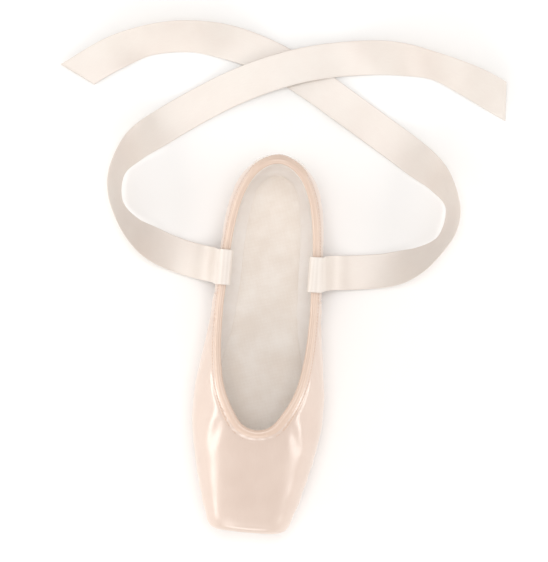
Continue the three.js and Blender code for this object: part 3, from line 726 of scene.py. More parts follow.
def plain_cloth(name, colour, deep, thread, relief):
    """Plain-woven cotton: matte, each thread over one and under one. Threads are drawn a little coarse."""
    material, tree, shader = new_material(name)
    place = add_node(tree, "ShaderNodeUVMap", {"uv_map": "cloth"}).outputs["UV"]
    waves = []
    for direction in ("X", "Y"):
        waves.append(add_node(
            tree, "ShaderNodeTexWave", {"bands_direction": direction, "wave_profile": "SIN"}, Vector=place,
            Scale=1 / (thread * MM) / 3.1416, Distortion=1.2, Detail=1.0, Detail_Scale=1.5).outputs["Fac"])
    weave = add_node(tree, "ShaderNodeMath", {"operation": "MULTIPLY"}, _0=waves[0], _1=waves[1]).outputs[0]
    patches = add_node(tree, "ShaderNodeTexNoise", {"noise_dimensions": "2D"}, Vector=place,
                       Scale=45.0, Detail=4.0, Roughness=0.6).outputs["Fac"]
    shade = add_node(tree, "ShaderNodeMath", {"operation": "MULTIPLY_ADD"}, _0=weave, _1=0.4, _2=patches)
    mix = add_node(tree, "ShaderNodeMapRange", None, Value=shade.outputs[0], From_Min=0.4, From_Max=1.0)
    colours = add_node(tree, "ShaderNodeMix", {"data_type": "RGBA"}, Factor=mix.outputs[0],
                       _6=linear(deep), _7=linear(colour))
    tree.links.new(colours.outputs[2], shader.inputs["Base Color"])
    bump = add_node(tree, "ShaderNodeBump", None, Strength=0.5, Distance=relief * MM, Height=weave)
    tree.links.new(bump.outputs[0], shader.inputs["Normal"])
    shader.inputs["Roughness"].default_value = 0.88
    shader.inputs["Sheen Weight"].default_value = 0.15
    return material


def room_x(station):
    """Where a section of the room inside lies: the room stops short of the heel and of the platform."""
    at_heel, at_toe = 1 - smooth_step(station, 0, 60), smooth_step(station, THROAT, LENGTH)
    return station - LENGTH / 2 + HEEL_WALL * at_heel - TOE_WALL * at_toe


def room_skin(stations, rows, bottom_share):
    """A grid over the left half of the room inside, a wall's thickness in from the last."""
    grids, all_arcs = [], []
    for station in stations:
        inset = min(float(wall(station)), float(half_width(station)) - 1)
        grid, arcs = half_skin([station], rows, -inset, -BOTTOM_WALL, room_x, bottom_share)
        grids.append(grid[0])
        all_arcs.append(arcs[0])
    return np.array(grids), np.array(all_arcs)


lining_cotton = plain_cloth("lining_cotton", "#fdfaf7", "#f3ece6", 0.8, 0.05)
LINING_STATIONS = np.concatenate([
    np.linspace(LINING_BACK, OPENING_BACK, 5)[:-1], rounded_steps(OPENING_BACK, THROAT, 110)[:-1],
    THROAT + (LENGTH - THROAT) * np.linspace(0, 1, 34) ** 1.2])
LINING_ROWS = 60
lining_grid, lining_arcs = room_skin(LINING_STATIONS, LINING_ROWS, sole_opening_share)
lining_runs = np.concatenate([np.zeros(len(CAP_SHARES)), LINING_STATIONS, np.full(len(CAP_SHARES), LENGTH)])


def lining_relief(points):
    """Slack cotton: soft ripples, and a step where the vamp's lining laps over the quarter's."""
    x, y, z = points.T
    station = x + LENGTH / 2
    relief = 0.10 * np.sin(station / 6.1 + z / 9) * np.sin(z / 5.3 - station / 17)
    return relief + 0.25 * smooth_step(station, SEAM_STATION - 4.4, SEAM_STATION - 3.6) - 0.1


lining_piece = mesh_piece(
    "lining", *capped_skin(lining_grid, lining_arcs, lining_runs, 0.0, lining_relief), lining_cotton)
thicken(weld(lining_piece), LINING_THICKNESS, 1.0)
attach(lining_piece, "root")

# --------------------------------------------------------------------------------------------------
# Insole. A cotton sock over thin board, lying on the turned-in edges of the upper. It is a little dished,
# and its edge is pressed down to the lining.

INSOLE_LOW = SOLE_THICKNESS + GAP + BOTTOM_WALL + 0.4
INSOLE_THICKNESS = 1.7
INSOLE_BACK, INSOLE_FRONT = 4.5, 0.9 * LENGTH
INSOLE_HEEL_ROUND, INSOLE_TOE_ROUND = 16, 14
INSOLE_CLEARANCE = 0.5
INSOLE_DISH = 0.55
INSOLE_EDGE_DROP = 0.6


def room_half(station, height):
    """How wide the room inside is at a height below its widest level."""
    half, _, low, level = section(station, -wall(station), -BOTTOM_WALL)
    down = np.clip((level - height) / (level - low), 0, 1)
    return half * (1 - down ** square(station)) ** (1 / square(station))


insole_cotton = plain_cloth("insole_cotton", "#fcf8f3", "#efe6dd", 0.9, 0.08)
insole_stations = np.linspace(INSOLE_BACK, INSOLE_FRONT, 150)
insole_shares = np.sin(np.linspace(-1, 1, 47) * math.pi / 2)
insole_rings, insole_uvs = [], []
for station in insole_stations:
    low = INSOLE_LOW + float(sole_rise(station))
    end = min((station - INSOLE_BACK) / INSOLE_HEEL_ROUND, (INSOLE_FRONT - station) / INSOLE_TOE_ROUND, 1)
    roundness = math.sqrt(max(1 - (1 - end) ** 2, 0.0004))
    y = (float(room_half(station, low + 0.9)) - INSOLE_CLEARANCE) * roundness * insole_shares
    dish = INSOLE_DISH * insole_shares ** 4 + 0.06 * np.sin(station / 9 + 5 * insole_shares)
    over = np.stack([y, low + INSOLE_THICKNESS - 0.45 + dish], axis=1)
    over[[0, -1], 1] -= INSOLE_EDGE_DROP
    under = np.stack([y[::-1], np.full(len(y), low)], axis=1)[1:-1]
    ring = np.concatenate([over, under])
    insole_rings.append(np.column_stack([np.full(len(ring), room_x(station)), ring]))
    insole_uvs.append(np.column_stack([np.full(len(ring), station), ring[:, 0]]))
insole_piece = mesh_piece("insole_sock", np.concatenate(insole_rings),
                          tube_faces(len(insole_rings), len(insole_rings[0])),
                          np.concatenate(insole_uvs), insole_cotton)
face_outwards(insole_piece)
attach(insole_piece, "root")
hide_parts("insole")

# --------------------------------------------------------------------------------------------------
# Outsole. One piece of tan split leather, 3 mm thick, cut narrow at the waist. Its edge is painted dark
# brown, and a shallow channel for the stitching runs a few millimetres inside it.

STITCH_INSET = 3.6
CHANNEL_DEPTH = 0.55
CHANNEL_HALF_WIDTH = 0.55
EDGE_ROUNDING = 0.7
OUTLINE_POINTS = 1200


def even_loop(line):
    """A closed line's points, spaced evenly all round."""
    line = np.concatenate([line, line[:1]])
    return resample(line, np.linspace(0, line_lengths(line)[-1], OUTLINE_POINTS, endpoint=False))


def sole_outline(inset=0.0):
    """The outsole's outline, moved in by a distance, as [x, y] points spaced evenly all round."""
    station = rounded_steps(SOLE_BACK, SOLE_FRONT, 900)
    half = sole_half(np.clip(station, SOLE_BACK + 1e-6, SOLE_FRONT - 1e-6))
    half[[0, -1]] = 0
    left, right = np.column_stack([station, half]), np.column_stack([station, -half])
    line = even_loop(np.concatenate([left, right[::-1][1:-1]]))
    forward = unit(np.roll(line, -4, axis=0) - np.roll(line, 4, axis=0))
    line = even_loop(line + np.column_stack([forward[:, 1], -forward[:, 0]]) * inset)
    return np.column_stack([line[:, 0] - LENGTH / 2, line[:, 1]])


def sole_leather():
    """Split leather, buffed: tan and speckled, with a dark painted edge where the attribute says so."""
    material, tree, shader = new_material("tan_split_leather")
    place = add_node(tree, "ShaderNodeTexCoord").outputs["Object"]
    grain = add_node(tree, "ShaderNodeTexVoronoi", {"feature": "DISTANCE_TO_EDGE"}, Vector=place,
                     Scale=1 / (1.3 * MM), Randomness=1.0).outputs["Distance"]
    speckle = add_node(tree, "ShaderNodeTexNoise", None, Vector=place, Scale=1 / (1.1 * MM), Detail=3.0,
                       Roughness=0.7).outputs["Fac"]
    clouds = add_node(tree, "ShaderNodeTexNoise", None, Vector=place, Scale=1 / (14 * MM), Detail=4.0,
                      Roughness=0.6).outputs["Fac"]
    tone = add_node(tree, "ShaderNodeValToRGB", None, Fac=clouds)
    tone.color_ramp.elements[0].position, tone.color_ramp.elements[0].color = 0.32, linear("#c9a685")
    tone.color_ramp.elements[1].position, tone.color_ramp.elements[1].color = 0.68, linear("#e2c8ac")
    fleck = add_node(tree, "ShaderNodeMapRange", None, Value=speckle, From_Min=0.34, From_Max=0.58)
    flecked = add_node(tree, "ShaderNodeMix", {"data_type": "RGBA", "blend_type": "MULTIPLY"}, Factor=0.55,
                       _6=tone.outputs["Color"])
    dark_fleck = add_node(tree, "ShaderNodeMix", {"data_type": "RGBA"}, Factor=fleck.outputs[0],
                          _6=linear("#b08a68"), _7=linear("#ffffff"))
    tree.links.new(dark_fleck.outputs[2], flecked.inputs[7])
    edge = add_node(tree, "ShaderNodeAttribute", {"attribute_name": "painted"}).outputs["Fac"]
    worn = add_node(tree, "ShaderNodeMath", {"operation": "MULTIPLY_ADD"}, _0=speckle, _1=0.35, _2=edge)
    painted = add_node(tree, "ShaderNodeMapRange", None, Value=worn.outputs[0], From_Min=0.55, From_Max=0.85)
    colours = add_node(tree, "ShaderNodeMix", {"data_type": "RGBA"}, Factor=painted.outputs[0],
                       _6=flecked.outputs[2], _7=linear("#5e392a"))
    tree.links.new(colours.outputs[2], shader.inputs["Base Color"])
    height = add_node(tree, "ShaderNodeMath", {"operation": "MULTIPLY_ADD"}, _0=grain, _1=300.0, _2=speckle)
    bump = add_node(tree, "ShaderNodeBump", None, Strength=0.5, Distance=0.12 * MM, Height=height.outputs[0])
    tree.links.new(bump.outputs[0], shader.inputs["Normal"])
    shader.inputs["Roughness"].default_value = 0.78
    shader.inputs["IOR"].default_value = 1.48
    return material


outline = sole_outline()
SOLE_END = 12  # its two round ends have closer stations than the rest
WALL_STEPS = 5
sole_stations = np.concatenate([rounded_steps(SOLE_BACK, SOLE_BACK + SOLE_END, 18)[:9],
                                np.linspace(SOLE_BACK + 6.2, SOLE_FRONT - 6.2, 200),
                                rounded_steps(SOLE_FRONT - SOLE_END, SOLE_FRONT, 18)[9:]])
sole_stations[0], sole_stations[-1] = SOLE_BACK + 0.01, SOLE_FRONT - 0.01
even_shares = np.linspace(-1, 1, 101)
across_shares = (np.sin(even_shares * math.pi / 2) + even_shares) / 2
sole_rings, sole_painted = [], []
for station in sole_stations:
    half = max(float(sole_half(station)), 0.05)
    low = float(sole_rise(station))
    y = half * across_shares
    x = np.full(len(y), station - LENGTH / 2)
    gap = np.linalg.norm(np.column_stack([x, y])[:, None] - outline[None, ::3], axis=2).min(axis=1)
    gap[[0, -1]] = 0
    rounding = EDGE_ROUNDING * (1 - np.sqrt(1 - (1 - np.clip(gap / EDGE_ROUNDING, 0, 1)) ** 2))
    channel = CHANNEL_DEPTH * np.exp(-((gap - STITCH_INSET) / CHANNEL_HALF_WIDTH) ** 2)
    under = low + rounding + channel
    top_side = np.full(len(y), low + SOLE_THICKNESS) - 0.4 * np.exp(-gap / 0.5)
    wall_z = np.linspace(under[-1], top_side[-1], WALL_STEPS + 2)[1:-1]
    ring_y = np.concatenate([y, np.full(WALL_STEPS, half), y[::-1], np.full(WALL_STEPS, -half)])
    ring_z = np.concatenate([under, wall_z, top_side[::-1], wall_z[::-1]])
    sole_rings.append(np.column_stack([np.full(len(ring_y), station - LENGTH / 2), ring_y, ring_z]))
    paint = 1 - smooth_step(gap, 0.5, 1.5)
    sole_painted.append(np.concatenate([paint, np.ones(WALL_STEPS), paint[::-1], np.ones(WALL_STEPS)]))
sole_piece = mesh_piece("outsole_leather", np.concatenate(sole_rings),
                        tube_faces(len(sole_rings), len(sole_rings[0])), None, sole_leather())
painted_layer = sole_piece.data.attributes.new("painted", "FLOAT", "POINT")
painted_layer.data.foreach_set("value", np.concatenate(sole_painted).astype(np.float32))
face_outwards(sole_piece)
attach(sole_piece, "root")
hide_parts("outsole")

# --------------------------------------------------------------------------------------------------
# Sole stitching. One row of waxed thread in the channel round the sole, and the awl holes that it goes
# through. Much of the thread has worn pale.

HOLE_PITCH = 5.4
HOLE_RADIUS = 0.85
SOLE_THREAD_RADIUS = 0.30
SOLE_THREAD_LENGTH = 2.9
STITCH_WANDER = 0.09  # how far an item of a row may turn, in radians


def row_tree(name, material, build_item, pitch):
    """A tree that lays one small item along a line at an even pitch, turned along the line."""
    tree = bpy.data.node_groups.new(name, "GeometryNodeTree")
    tree.interface.new_socket("Line", in_out="INPUT", socket_type="NodeSocketGeometry")
    spacing = tree.interface.new_socket("Pitch", in_out="INPUT", socket_type="NodeSocketFloat")
    spacing.default_value = pitch * MM
    wander = tree.interface.new_socket("Turn at random", in_out="INPUT", socket_type="NodeSocketFloat")
    wander.default_value = STITCH_WANDER
    tree.interface.new_socket("Items", in_out="OUTPUT", socket_type="NodeSocketGeometry")
    given = tree.nodes.new("NodeGroupInput")
    curve = add_node(tree, "GeometryNodeMeshToCurve", None, Mesh=given.outputs["Line"])
    even = add_node(tree, "GeometryNodeResampleCurve", {"mode": "LENGTH"}, Curve=curve.outputs[0],
                    Length=given.outputs["Pitch"])
    tangent = add_node(tree, "GeometryNodeInputTangent")
    turn = add_node(tree, "FunctionNodeAlignRotationToVector", {"axis": "X"}, Vector=tangent.outputs[0])
    back = add_node(tree, "ShaderNodeMath", {"operation": "MULTIPLY"}, _0=given.outputs["Turn at random"],
                    _1=-1.0)
    chance = add_node(tree, "FunctionNodeRandomValue", {"data_type": "FLOAT"}, _2=back.outputs[0],
                      _3=given.outputs["Turn at random"], Seed=7)
    spin = add_node(tree, "ShaderNodeCombineXYZ", None, Z=chance.outputs[1])
    wobble = add_node(tree, "FunctionNodeEulerToRotation", None, _0=spin.outputs[0])
    turned = add_node(tree, "FunctionNodeRotateRotation", {"rotation_space": "LOCAL"},
                      Rotation=turn.outputs[0], Rotate_By=wobble.outputs[0])
    laid = add_node(tree, "GeometryNodeInstanceOnPoints", None, Points=even.outputs[0],
                    Instance=build_item(tree), Rotation=turned.outputs[0])
    real = add_node(tree, "GeometryNodeRealizeInstances", None, Geometry=laid.outputs[0])
    finished = add_node(tree, "GeometryNodeSetMaterial", None, Geometry=real.outputs[0], Material=material)
    done = tree.nodes.new("NodeGroupOutput")
    tree.links.new(finished.outputs[0], done.inputs["Items"])
    return tree


def thread_item(length, radius, sides=6, rings=5):
    """A short plump stitch, lying along X."""

    def build(tree):
        ball = add_node(tree, "GeometryNodeMeshUVSphere", None, Segments=sides, Rings=rings, Radius=1.0)
        shaped = add_node(tree, "GeometryNodeTransform", None, Geometry=ball.outputs["Mesh"],
                          Rotation=(0, math.pi / 2, 0), Scale=(radius * MM, radius * MM, length / 2 * MM))
        smooth = add_node(tree, "GeometryNodeSetShadeSmooth", None, Geometry=shaped.outputs[0])
        return smooth.outputs[0]

    return build


def line_pieces(name, lines, tree):
    """Lays a tree's items along lines of points, and turns the result into one plain mesh."""
    points, edges = [], []
    for line, is_loop in lines:
        first = len(points)
        points += (np.asarray(line) * MM).tolist()
        count = len(line)
        edges += [(first + i, first + (i + 1) % count) for i in range(count if is_loop else count - 1)]
    mesh = bpy.data.meshes.new(name)
    mesh.from_pydata(points, edges, [])
    piece = bpy.data.objects.new(name, mesh)
    bpy.context.scene.collection.objects.link(piece)
    piece.modifiers.new("row", "NODES").node_group = tree
    return apply_modifiers(piece)


def mottled(name, colour, deep, grain, roughness, relief=0.0):
    """A small matte surface that wavers between two colours, with a grain of so many millimetres."""
    material, tree, shader = new_material(name)
    place = add_node(tree, "ShaderNodeTexCoord").outputs["Object"]
    fuzz = add_node(tree, "ShaderNodeTexNoise", None, Vector=place, Scale=1 / (grain * MM), Detail=2.0)
    colours = add_node(tree, "ShaderNodeMix", {"data_type": "RGBA"}, Factor=fuzz.outputs["Fac"],
                       _6=linear(deep), _7=linear(colour))
    tree.links.new(colours.outputs[2], shader.inputs["Base Color"])
    if relief:
        bump = add_node(tree, "ShaderNodeBump", None, Strength=0.4, Distance=relief * MM,
                        Height=fuzz.outputs["Fac"])
        tree.links.new(bump.outputs[0], shader.inputs["Normal"])
    shader.inputs["Roughness"].default_value = roughness
    return material


def channel_line(depth):
    """The middle of the stitching channel all round the sole, at a depth above its underside."""
    flat = sole_outline(STITCH_INSET)
    z = sole_rise(flat[:, 0] + LENGTH / 2) + depth
    return np.column_stack([flat, z])


def hole_item(tree):
    """A dark awl hole, drawn as a flat dark bead on the channel's floor."""
    ball = add_node(tree, "GeometryNodeMeshUVSphere", None, Segments=10, Rings=5, Radius=1.0)
    return add_node(tree, "GeometryNodeTransform", None, Geometry=ball.outputs["Mesh"],
                    Scale=(HOLE_RADIUS * 1.15 * MM, HOLE_RADIUS * MM, 0.14 * MM)).outputs[0]


# the inside of a hole: dark waxed leather in shadow
hole_dark = mottled("awl_hole_shadow", "#54382a", "#2e1c14", 0.8, 0.95)
holes = line_pieces("outsole_awl_holes", [(channel_line(0.42), True)],
                    row_tree("awl_holes", hole_dark, hole_item, HOLE_PITCH))
# waxed linen, twisted and worn: pale, with darker turns
pale_thread = mottled("waxed_linen_thread", "#d9c2a6", "#a98c6c", 0.4, 0.6, relief=0.05)
sole_stitches = line_pieces(
    "outsole_stitches", [(np.roll(channel_line(0.40), 7, axis=0), True)],
    row_tree("sole_stitches", pale_thread, thread_item(SOLE_THREAD_LENGTH, SOLE_THREAD_RADIUS), HOLE_PITCH))
for piece in (holes, sole_stitches):
    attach(piece, "root")

# --------------------------------------------------------------------------------------------------
# Sole tread. Plain double rings, burnt into the leather of the forefoot in staggered rows so that it
# grips a stage floor. Each is a thin scorched line lying in the surface.

RING_PITCH = 10.6
RING_ROW = 9.2
RING_RADII = (3.9, 2.0)
SCORCH_RADIUS = 0.26
TREAD_BACK, TREAD_FRONT = 119, 198
TREAD_MARGIN = 8.0


def ring_tree(material):
    """A tree that sets a double ring, drawn as a thin flat line, at each of its points."""
    tree = bpy.data.node_groups.new("tread_rings", "GeometryNodeTree")
    tree.interface.new_socket("Places", in_out="INPUT", socket_type="NodeSocketGeometry")
    line = tree.interface.new_socket("Line radius", in_out="INPUT", socket_type="NodeSocketFloat")
    line.default_value = SCORCH_RADIUS * MM
    tree.interface.new_socket("Rings", in_out="OUTPUT", socket_type="NodeSocketGeometry")
    given = tree.nodes.new("NodeGroupInput")
    both = tree.nodes.new("GeometryNodeJoinGeometry")
    for radius in RING_RADII:
        ring = add_node(tree, "GeometryNodeCurvePrimitiveCircle", {"mode": "RADIUS"},
                        Resolution=round(8 * radius), Radius=radius * MM)
        tree.links.new(ring.outputs[0], both.inputs[0])
    profile = add_node(tree, "GeometryNodeCurvePrimitiveCircle", {"mode": "RADIUS"}, Resolution=5,
                       Radius=given.outputs["Line radius"])
    burnt = add_node(tree, "GeometryNodeCurveToMesh", None, Curve=both.outputs[0],
                     Profile_Curve=profile.outputs[0])
    flat = add_node(tree, "GeometryNodeTransform", None, Geometry=burnt.outputs[0], Scale=(1, 1, 0.5))
    laid = add_node(tree, "GeometryNodeInstanceOnPoints", None, Points=given.outputs["Places"],
                    Instance=flat.outputs[0])
    real = add_node(tree, "GeometryNodeRealizeInstances", None, Geometry=laid.outputs[0])
    finished = add_node(tree, "GeometryNodeSetMaterial", None, Geometry=real.outputs[0], Material=material)
    done = tree.nodes.new("NodeGroupOutput")
    tree.links.new(finished.outputs[0], done.inputs["Rings"])
    return tree


# leather browned by a hot iron, unevenly
scorch = mottled("scorched_leather", "#a4825f", "#70523a", 1.6, 0.85)

ring_places = []
for row, station in enumerate(np.arange(TREAD_BACK, TREAD_FRONT, RING_ROW)):
    shift = (row % 2) * RING_PITCH / 2
    for y in np.arange(-3, 4) * RING_PITCH + shift:
        gap = np.linalg.norm(outline - (station - LENGTH / 2, y), axis=1).min()
        if abs(y) < float(sole_half(station)) and gap > TREAD_MARGIN:
            ring_places.append((station - LENGTH / 2, y, 0.02))
ring_mesh = bpy.data.meshes.new("outsole_tread_rings")
ring_mesh.from_pydata((np.array(ring_places) * MM).tolist(), [], [])
rings_piece = bpy.data.objects.new("outsole_tread_rings", ring_mesh)
bpy.context.scene.collection.objects.link(rings_piece)
rings_piece.modifiers.new("rings", "NODES").node_group = ring_tree(scorch)
apply_modifiers(rings_piece)
for vertex in rings_piece.data.vertices:
    vertex.co.z += float(sole_rise(vertex.co.x / MM + LENGTH / 2)) * MM
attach(rings_piece, "root")

# --------------------------------------------------------------------------------------------------
# Heel strip. A band of brighter satin tape over the back seam, from the sole up to the binding. It lies on
# the satin and is stitched down along both edges.

STRIP_WIDTH = 31
STRIP_THICKNESS = 0.5
STRIP_LOW = 3.7
STRIP_TUCK = 3.2  # how far below the topline it ends, under the binding
STRIP_HEM = 1.3  # from its edge to the row of stitches
HEEL_SEARCH = 24.0  # how far forward of the heel's back its surface is looked for
HALVINGS = 34


def heel_station(y, z):
    """How far forward of the heel's back the last's surface lies at a side distance and a height."""
    near, far = np.zeros_like(y), np.full_like(y, HEEL_SEARCH)
    for _ in range(HALVINGS):
        middle = (near + far) / 2
        half, high, low, level = section(middle)
        reach = np.where(z >= level, high - level, level - low)
        fullness = np.where(z >= level, crown(middle), square(middle))
        inside = (np.abs(y) / half) ** fullness + (np.abs(z - level) / reach) ** fullness < 1
        far = np.where(inside, middle, far)
        near = np.where(inside, near, middle)
    return far


# the satin as it lies, to set the strip and the seam stitches on
satin_surface = BVHTree.FromObject(upper_piece, bpy.context.evaluated_depsgraph_get())


def satin_stand(points, out):
    """How far out of each point the satin's surface lies, along its outward direction, within a little."""
    reach, little = 6.0, 0.6
    stand = []
    for point, way in zip(points.reshape(-1, 3), out.reshape(-1, 3)):
        start = Vector((point + way * reach) * MM)
        hit = satin_surface.ray_cast(start, Vector(-way), 2 * reach * MM)
        stand.append(0.0 if hit[3] is None else reach - hit[3] / MM)
    return np.clip(stand, -little, little).reshape(points.shape[:-1])


def drape(values, bridge, soften):
    """What cloth laid over a grid of heights stands at: it bridges the hollows and rounds the humps."""
    for step in range(bridge + soften):
        wide = np.pad(values, 1, mode="edge")
        beside = np.stack([wide[:-2, 1:-1], wide[2:, 1:-1], wide[1:-1, :-2], wide[1:-1, 2:], values])
        values = beside.max(axis=0) if step < bridge else beside.mean(axis=0)
    return values


strip_satin = satin("heel_tape_satin", "#ebe2d8", "#ddd0c5", 0.26, 0.15, thread=0.3, floats=6.0)
strip_across = np.linspace(-1, 1, 61)
strip_up = np.linspace(0, 1, 111)
strip_y = np.broadcast_to(strip_across[None, :] * STRIP_WIDTH / 2, (len(strip_up), len(strip_across)))
# the height of the topline above each column of the strip
from_heel = edge_points[:, 0] + LENGTH / 2 - 0.5
strip_edge_top = np.array([edge_points[np.argmin(np.hypot(edge_points[:, 1] - y, from_heel / 3)), 2]
                           for y in strip_across * STRIP_WIDTH / 2])
strip_z = STRIP_LOW + (strip_edge_top - STRIP_TUCK - STRIP_LOW)[None, :] * strip_up[:, None]
strip_grid = np.stack([heel_station(strip_y, strip_z) - LENGTH / 2, strip_y, strip_z], axis=-1)
strip_out = unit(np.cross(np.gradient(strip_grid, axis=0), np.gradient(strip_grid, axis=1)))
strip_out *= np.sign(-strip_out[..., :1])
strip_lift = drape(satin_stand(strip_grid, strip_out), 4, 60) + STRIP_THICKNESS / 2
strip_relief = 0.06 + 0.06 * np.sin(strip_z / 6.3 + strip_y / 9) * np.sin(strip_y / 5.1)
strip_relief += 0.16 * (1 - np.exp(-((np.abs(strip_y) - STRIP_WIDTH / 2 + STRIP_HEM) / 0.5) ** 2))
strip_grid = strip_grid + strip_out * (strip_lift + strip_relief)[..., None]
strip_uvs = np.stack([strip_z, strip_y], axis=-1)
strip_piece = mesh_piece("heel_strip_satin", strip_grid.reshape(-1, 3),
                         grid_faces(len(strip_up), len(strip_across)), strip_uvs.reshape(-1, 2), strip_satin)
thicken(strip_piece, STRIP_THICKNESS, 0.0)
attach(strip_piece, "root")
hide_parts("heel_strip")

# sewing thread, dyed to match the satin
satin_thread = mottled("peach_thread", "#dcc4b4", "#c2a593", 0.3, 0.6, relief=0.05)
strip_stitch_lines = []
for column in (3, len(strip_across) - 4):
    strip_stitch_lines.append((strip_grid[4:-4, column] + strip_out[4:-4, column] * 0.22, False))
strip_stitches = line_pieces("heel_strip_stitches", strip_stitch_lines,
                             row_tree("heel_stitches", satin_thread, thread_item(1.5, 0.17), 2.1))
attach(strip_stitches, "root")

# --------------------------------------------------------------------------------------------------
# Binding. Satin tape folded over the topline, wider over the throat. It is the casing of a thin
# drawstring, which bulges it, and two rows of stitches hold it down.

# The tape's cross-section, all round. Each row: out of the wall; away from the topline's edge.
BINDING_PROFILE = np.array([
    (-2.7, 4.1), (-2.95, 2.6), (-3.0, 1.0), (-2.85, -0.2), (-2.3, -1.0), (-1.2, -1.35), (-0.2, -1.25),
    (0.55, -0.75), (1.0, 0.1), (1.12, 1.0), (0.98, 1.9), (0.62, 2.6), (0.40, 3.05), (0.52, 3.5), (0.56, 4.1),
    (0.46, 4.55), (0.10, 4.75), (-0.8, 4.6), (-1.8, 4.4)])
THROAT_WIDENING = 0.42
BINDING_STEPS = 520
STRIP_BULGE = 0.9  # how far the heel strip's end lifts it
GATHER_PITCH = 3.4
GATHER_DEPTH = 0.07
# Each row: a row of stitches' place out of the wall, and away from the topline's edge.
BINDING_ROWS = ((0.44, 3.05), (0.60, 4.05))

binding_satin = satin("binding_satin", "#e1c9b7", "#d4b9a7", 0.34, 0.30, thread=0.26, floats=4.0)


def binding_frame(steps):
    """Points of the topline at even steps, with the directions out of the wall and away from the edge."""
    picks = np.linspace(0, len(edge_points), steps, endpoint=False).astype(int)
    smooth = []
    for vectors, window in ((edge_points, 31), (edge_out, 91), (edge_away, 91)):
        wrapped = np.concatenate([vectors[-window:], vectors, vectors[:window]])
        kernel = np.ones(window) / window
        columns = [np.convolve(wrapped[:, k], kernel, "same")[window:-window] for k in range(3)]
        smooth.append(np.stack(columns, 1))
    points, out, away = smooth
    return points[picks], edge_places[picks], unit(out)[picks], unit(away)[picks]


def throat_share(points):
    """1 at the middle of the throat, falling to 0 along the sides."""
    return np.exp(-((THROAT - LENGTH / 2 - points[:, 0]) / 17) ** 2)


profile_loop = through_points(np.concatenate([BINDING_PROFILE, BINDING_PROFILE[:1]]), 3)[:-1]
bind_points, bind_places, bind_out, bind_away = binding_frame(BINDING_STEPS)
widening = 1 + THROAT_WIDENING * throat_share(bind_points)
out_by = np.broadcast_to(profile_loop[None, :, 0], (BINDING_STEPS, len(profile_loop)))
away_by = np.where(profile_loop[None, :, 1] > 0, profile_loop[None, :, 1] * widening[:, None],
                   profile_loop[None, :, 1])
over_strip = (1 - smooth_step(np.abs(bind_points[:, 1]), STRIP_WIDTH / 2 - 0.3, STRIP_WIDTH / 2 + 1.2))
over_strip *= bind_points[:, 0] < -LENGTH / 4
strip_bulge = STRIP_BULGE * over_strip
out_by = out_by + strip_bulge[:, None] * smooth_step(away_by, 0.6, 2.8) * smooth_step(out_by, -1.2, 0)
gather_phase = 2 * math.pi * bind_places / GATHER_PITCH + 2 * np.sin(bind_places / 21)
gathers = GATHER_DEPTH * np.sin(gather_phase)[:, None]
swell = smooth_step(out_by, -0.5, 0.8) * np.exp(-((away_by - 1.0) / 1.7) ** 2)
binding_rings = (bind_points[:, None] + bind_out[:, None] * (out_by + gathers * swell)[..., None]
                 + bind_away[:, None] * away_by[..., None])
profile_run = line_lengths(np.concatenate([profile_loop, profile_loop[:1]]))[:-1]
binding_uvs = np.stack(np.broadcast_arrays(bind_places[:, None], profile_run[None, :]), axis=-1)
binding_piece = mesh_piece("binding_satin_tape", binding_rings.reshape(-1, 3),
                           tube_faces(BINDING_STEPS, len(profile_loop), closed=True),
                           binding_uvs.reshape(-1, 2), binding_satin)
face_outwards(binding_piece)
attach(binding_piece, "root")
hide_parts("topline_binding")

binding_stitch_lines = []
for row_out, row_away in BINDING_ROWS:
    line = bind_points + bind_out * (row_out + strip_bulge)[:, None]
    binding_stitch_lines.append((line + bind_away * (row_away * widening)[:, None], True))
binding_stitches = line_pieces("binding_stitches", binding_stitch_lines,
                               row_tree("binding_stitches", satin_thread, thread_item(1.45, 0.15), 2.0))
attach(binding_stitches, "root")

# --------------------------------------------------------------------------------------------------
# Side seam stitching. Two rows of small stitches down each side seam, from the binding to the sole. They lie
# mostly just under the surface of the satin, so that only traces of them show.

SEAM_TOP, SEAM_LOW = 34.5, 6.5


def seam_line(side, shift):
    """A line down the side seam, moved along the shoe."""
    z = np.linspace(SEAM_TOP, SEAM_LOW, 60)
    station = SEAM_STATION + 0.10 * (z - 20) + 0.5 * np.sin(z / 9) + shift
    half, high, low_z, level = section(station)
    reach = np.where(z >= level, high - level, level - low_z)
    fullness = np.where(z >= level, crown(station), square(station))
    y = half * (1 - (np.abs(z - level) / reach) ** fullness) ** (1 / fullness)
    points = np.column_stack([station - LENGTH / 2, side * y, z])
    out = np.tile((0.0, side, 0.0), (len(points), 1))
    return points + out * (satin_stand(points, out) + 0.12)[:, None]


seam_lines = []
for seam_side in (1, -1):
    for seam_shift in (1.7, 3.4):
        seam_lines.append((seam_line(seam_side, seam_shift), False))
seam_stitches = line_pieces("side_seam_stitches", seam_lines,
                            row_tree("seam_stitches", satin_thread, thread_item(1.5, 0.16), 2.1))
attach(seam_stitches, "root")

# --------------------------------------------------------------------------------------------------
# Ribbon tabs. The ribbons' sewn ends, flat against the lining inside the quarters, stitched down in a
# square below the binding.

TAB_HALF_THICK = 0.35
TAB_RIM_HALF_THICK = 0.12
# Each row: x, y and z on the left side; the last rows meet the ribbon.
TAB_ROUTE = [(-46.0, 26.2, 12.6), (-46.0, 28.3, 17.0), (-46.0, 29.05, 24.0), (-46.0, 28.55, 30.0),
             (-46.0, 27.2, 34.6), (-46.0, 25.4, 38.0), (-46.0, 24.3, 41.0)]
TAB_STITCH_INSET = 2.2
TAB_STITCH_HEIGHT = 17
ALONG_SHOE = np.array([1.0, 0, 0])


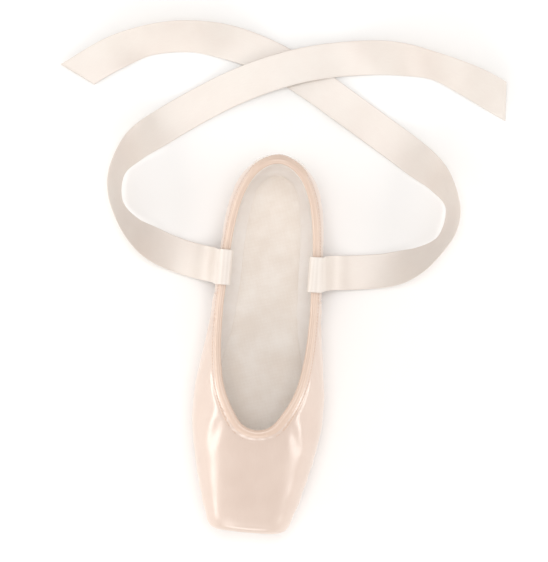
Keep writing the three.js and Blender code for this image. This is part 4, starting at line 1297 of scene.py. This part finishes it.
def tab_frame(side):
    """The tab's middle line, and the direction of its thickness."""
    line = through_points(np.array(TAB_ROUTE) * (1, side, 1), 8)
    return line, np.cross(unit(np.gradient(line, axis=0)), ALONG_SHOE)


for tab_side, tab_name in ((1, "left"), (-1, "right")):
    tab_line, tab_out = tab_frame(tab_side)
    shares = np.linspace(-1, 1, 25)
    thick = np.full(len(shares), TAB_HALF_THICK)
    thick[[0, -1]] = TAB_RIM_HALF_THICK
    around = np.concatenate([shares, shares[::-1]])
    offsets = np.concatenate([thick, -thick])
    ring_points = (tab_line[:, None] + ALONG_SHOE * (around * RIBBON_WIDTH / 2)[None, :, None]
                   + tab_out[:, None] * offsets[None, :, None])
    run = line_lengths(tab_line)
    tab_uvs = np.stack(np.broadcast_arrays(run[:, None], around[None, :] * RIBBON_WIDTH / 2), axis=-1)
    tab_piece = mesh_piece(f"ribbon_tab_{tab_name}_satin", ring_points.reshape(-1, 3),
                           tube_faces(len(tab_line), len(around)), tab_uvs.reshape(-1, 2), ribbon_satin)
    face_outwards(tab_piece)
    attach(tab_piece, "root")
    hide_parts(f"ribbon_tab_{tab_name}")

half_box = RIBBON_WIDTH / 2 - TAB_STITCH_INSET
box_low, box_high = TAB_STITCH_INSET, TAB_STITCH_INSET + TAB_STITCH_HEIGHT
corners = np.array([(-half_box, box_low), (half_box, box_low), (half_box, box_high), (-half_box, box_high),
                    (-half_box, box_low)])
box_places = resample(corners, np.linspace(0, line_lengths(corners)[-1], 160))
tab_stitch_lines = []
for tab_side in (1, -1):
    tab_line, inner = tab_frame(tab_side)
    inner *= -tab_side * np.sign(inner[:, 1:2])
    run = line_lengths(tab_line)
    middle, lift = (np.stack([np.interp(box_places[:, 1], run, values[:, k]) for k in range(3)], axis=1)
                    for values in (tab_line, inner))
    tab_stitch_lines.append((middle + lift * (TAB_HALF_THICK + 0.06) + ALONG_SHOE * box_places[:, :1], False))
tab_stitches = line_pieces("ribbon_tab_stitches", tab_stitch_lines,
                           row_tree("tab_stitches", satin_thread, thread_item(1.7, 0.18), 2.4))
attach(tab_stitches, "root")
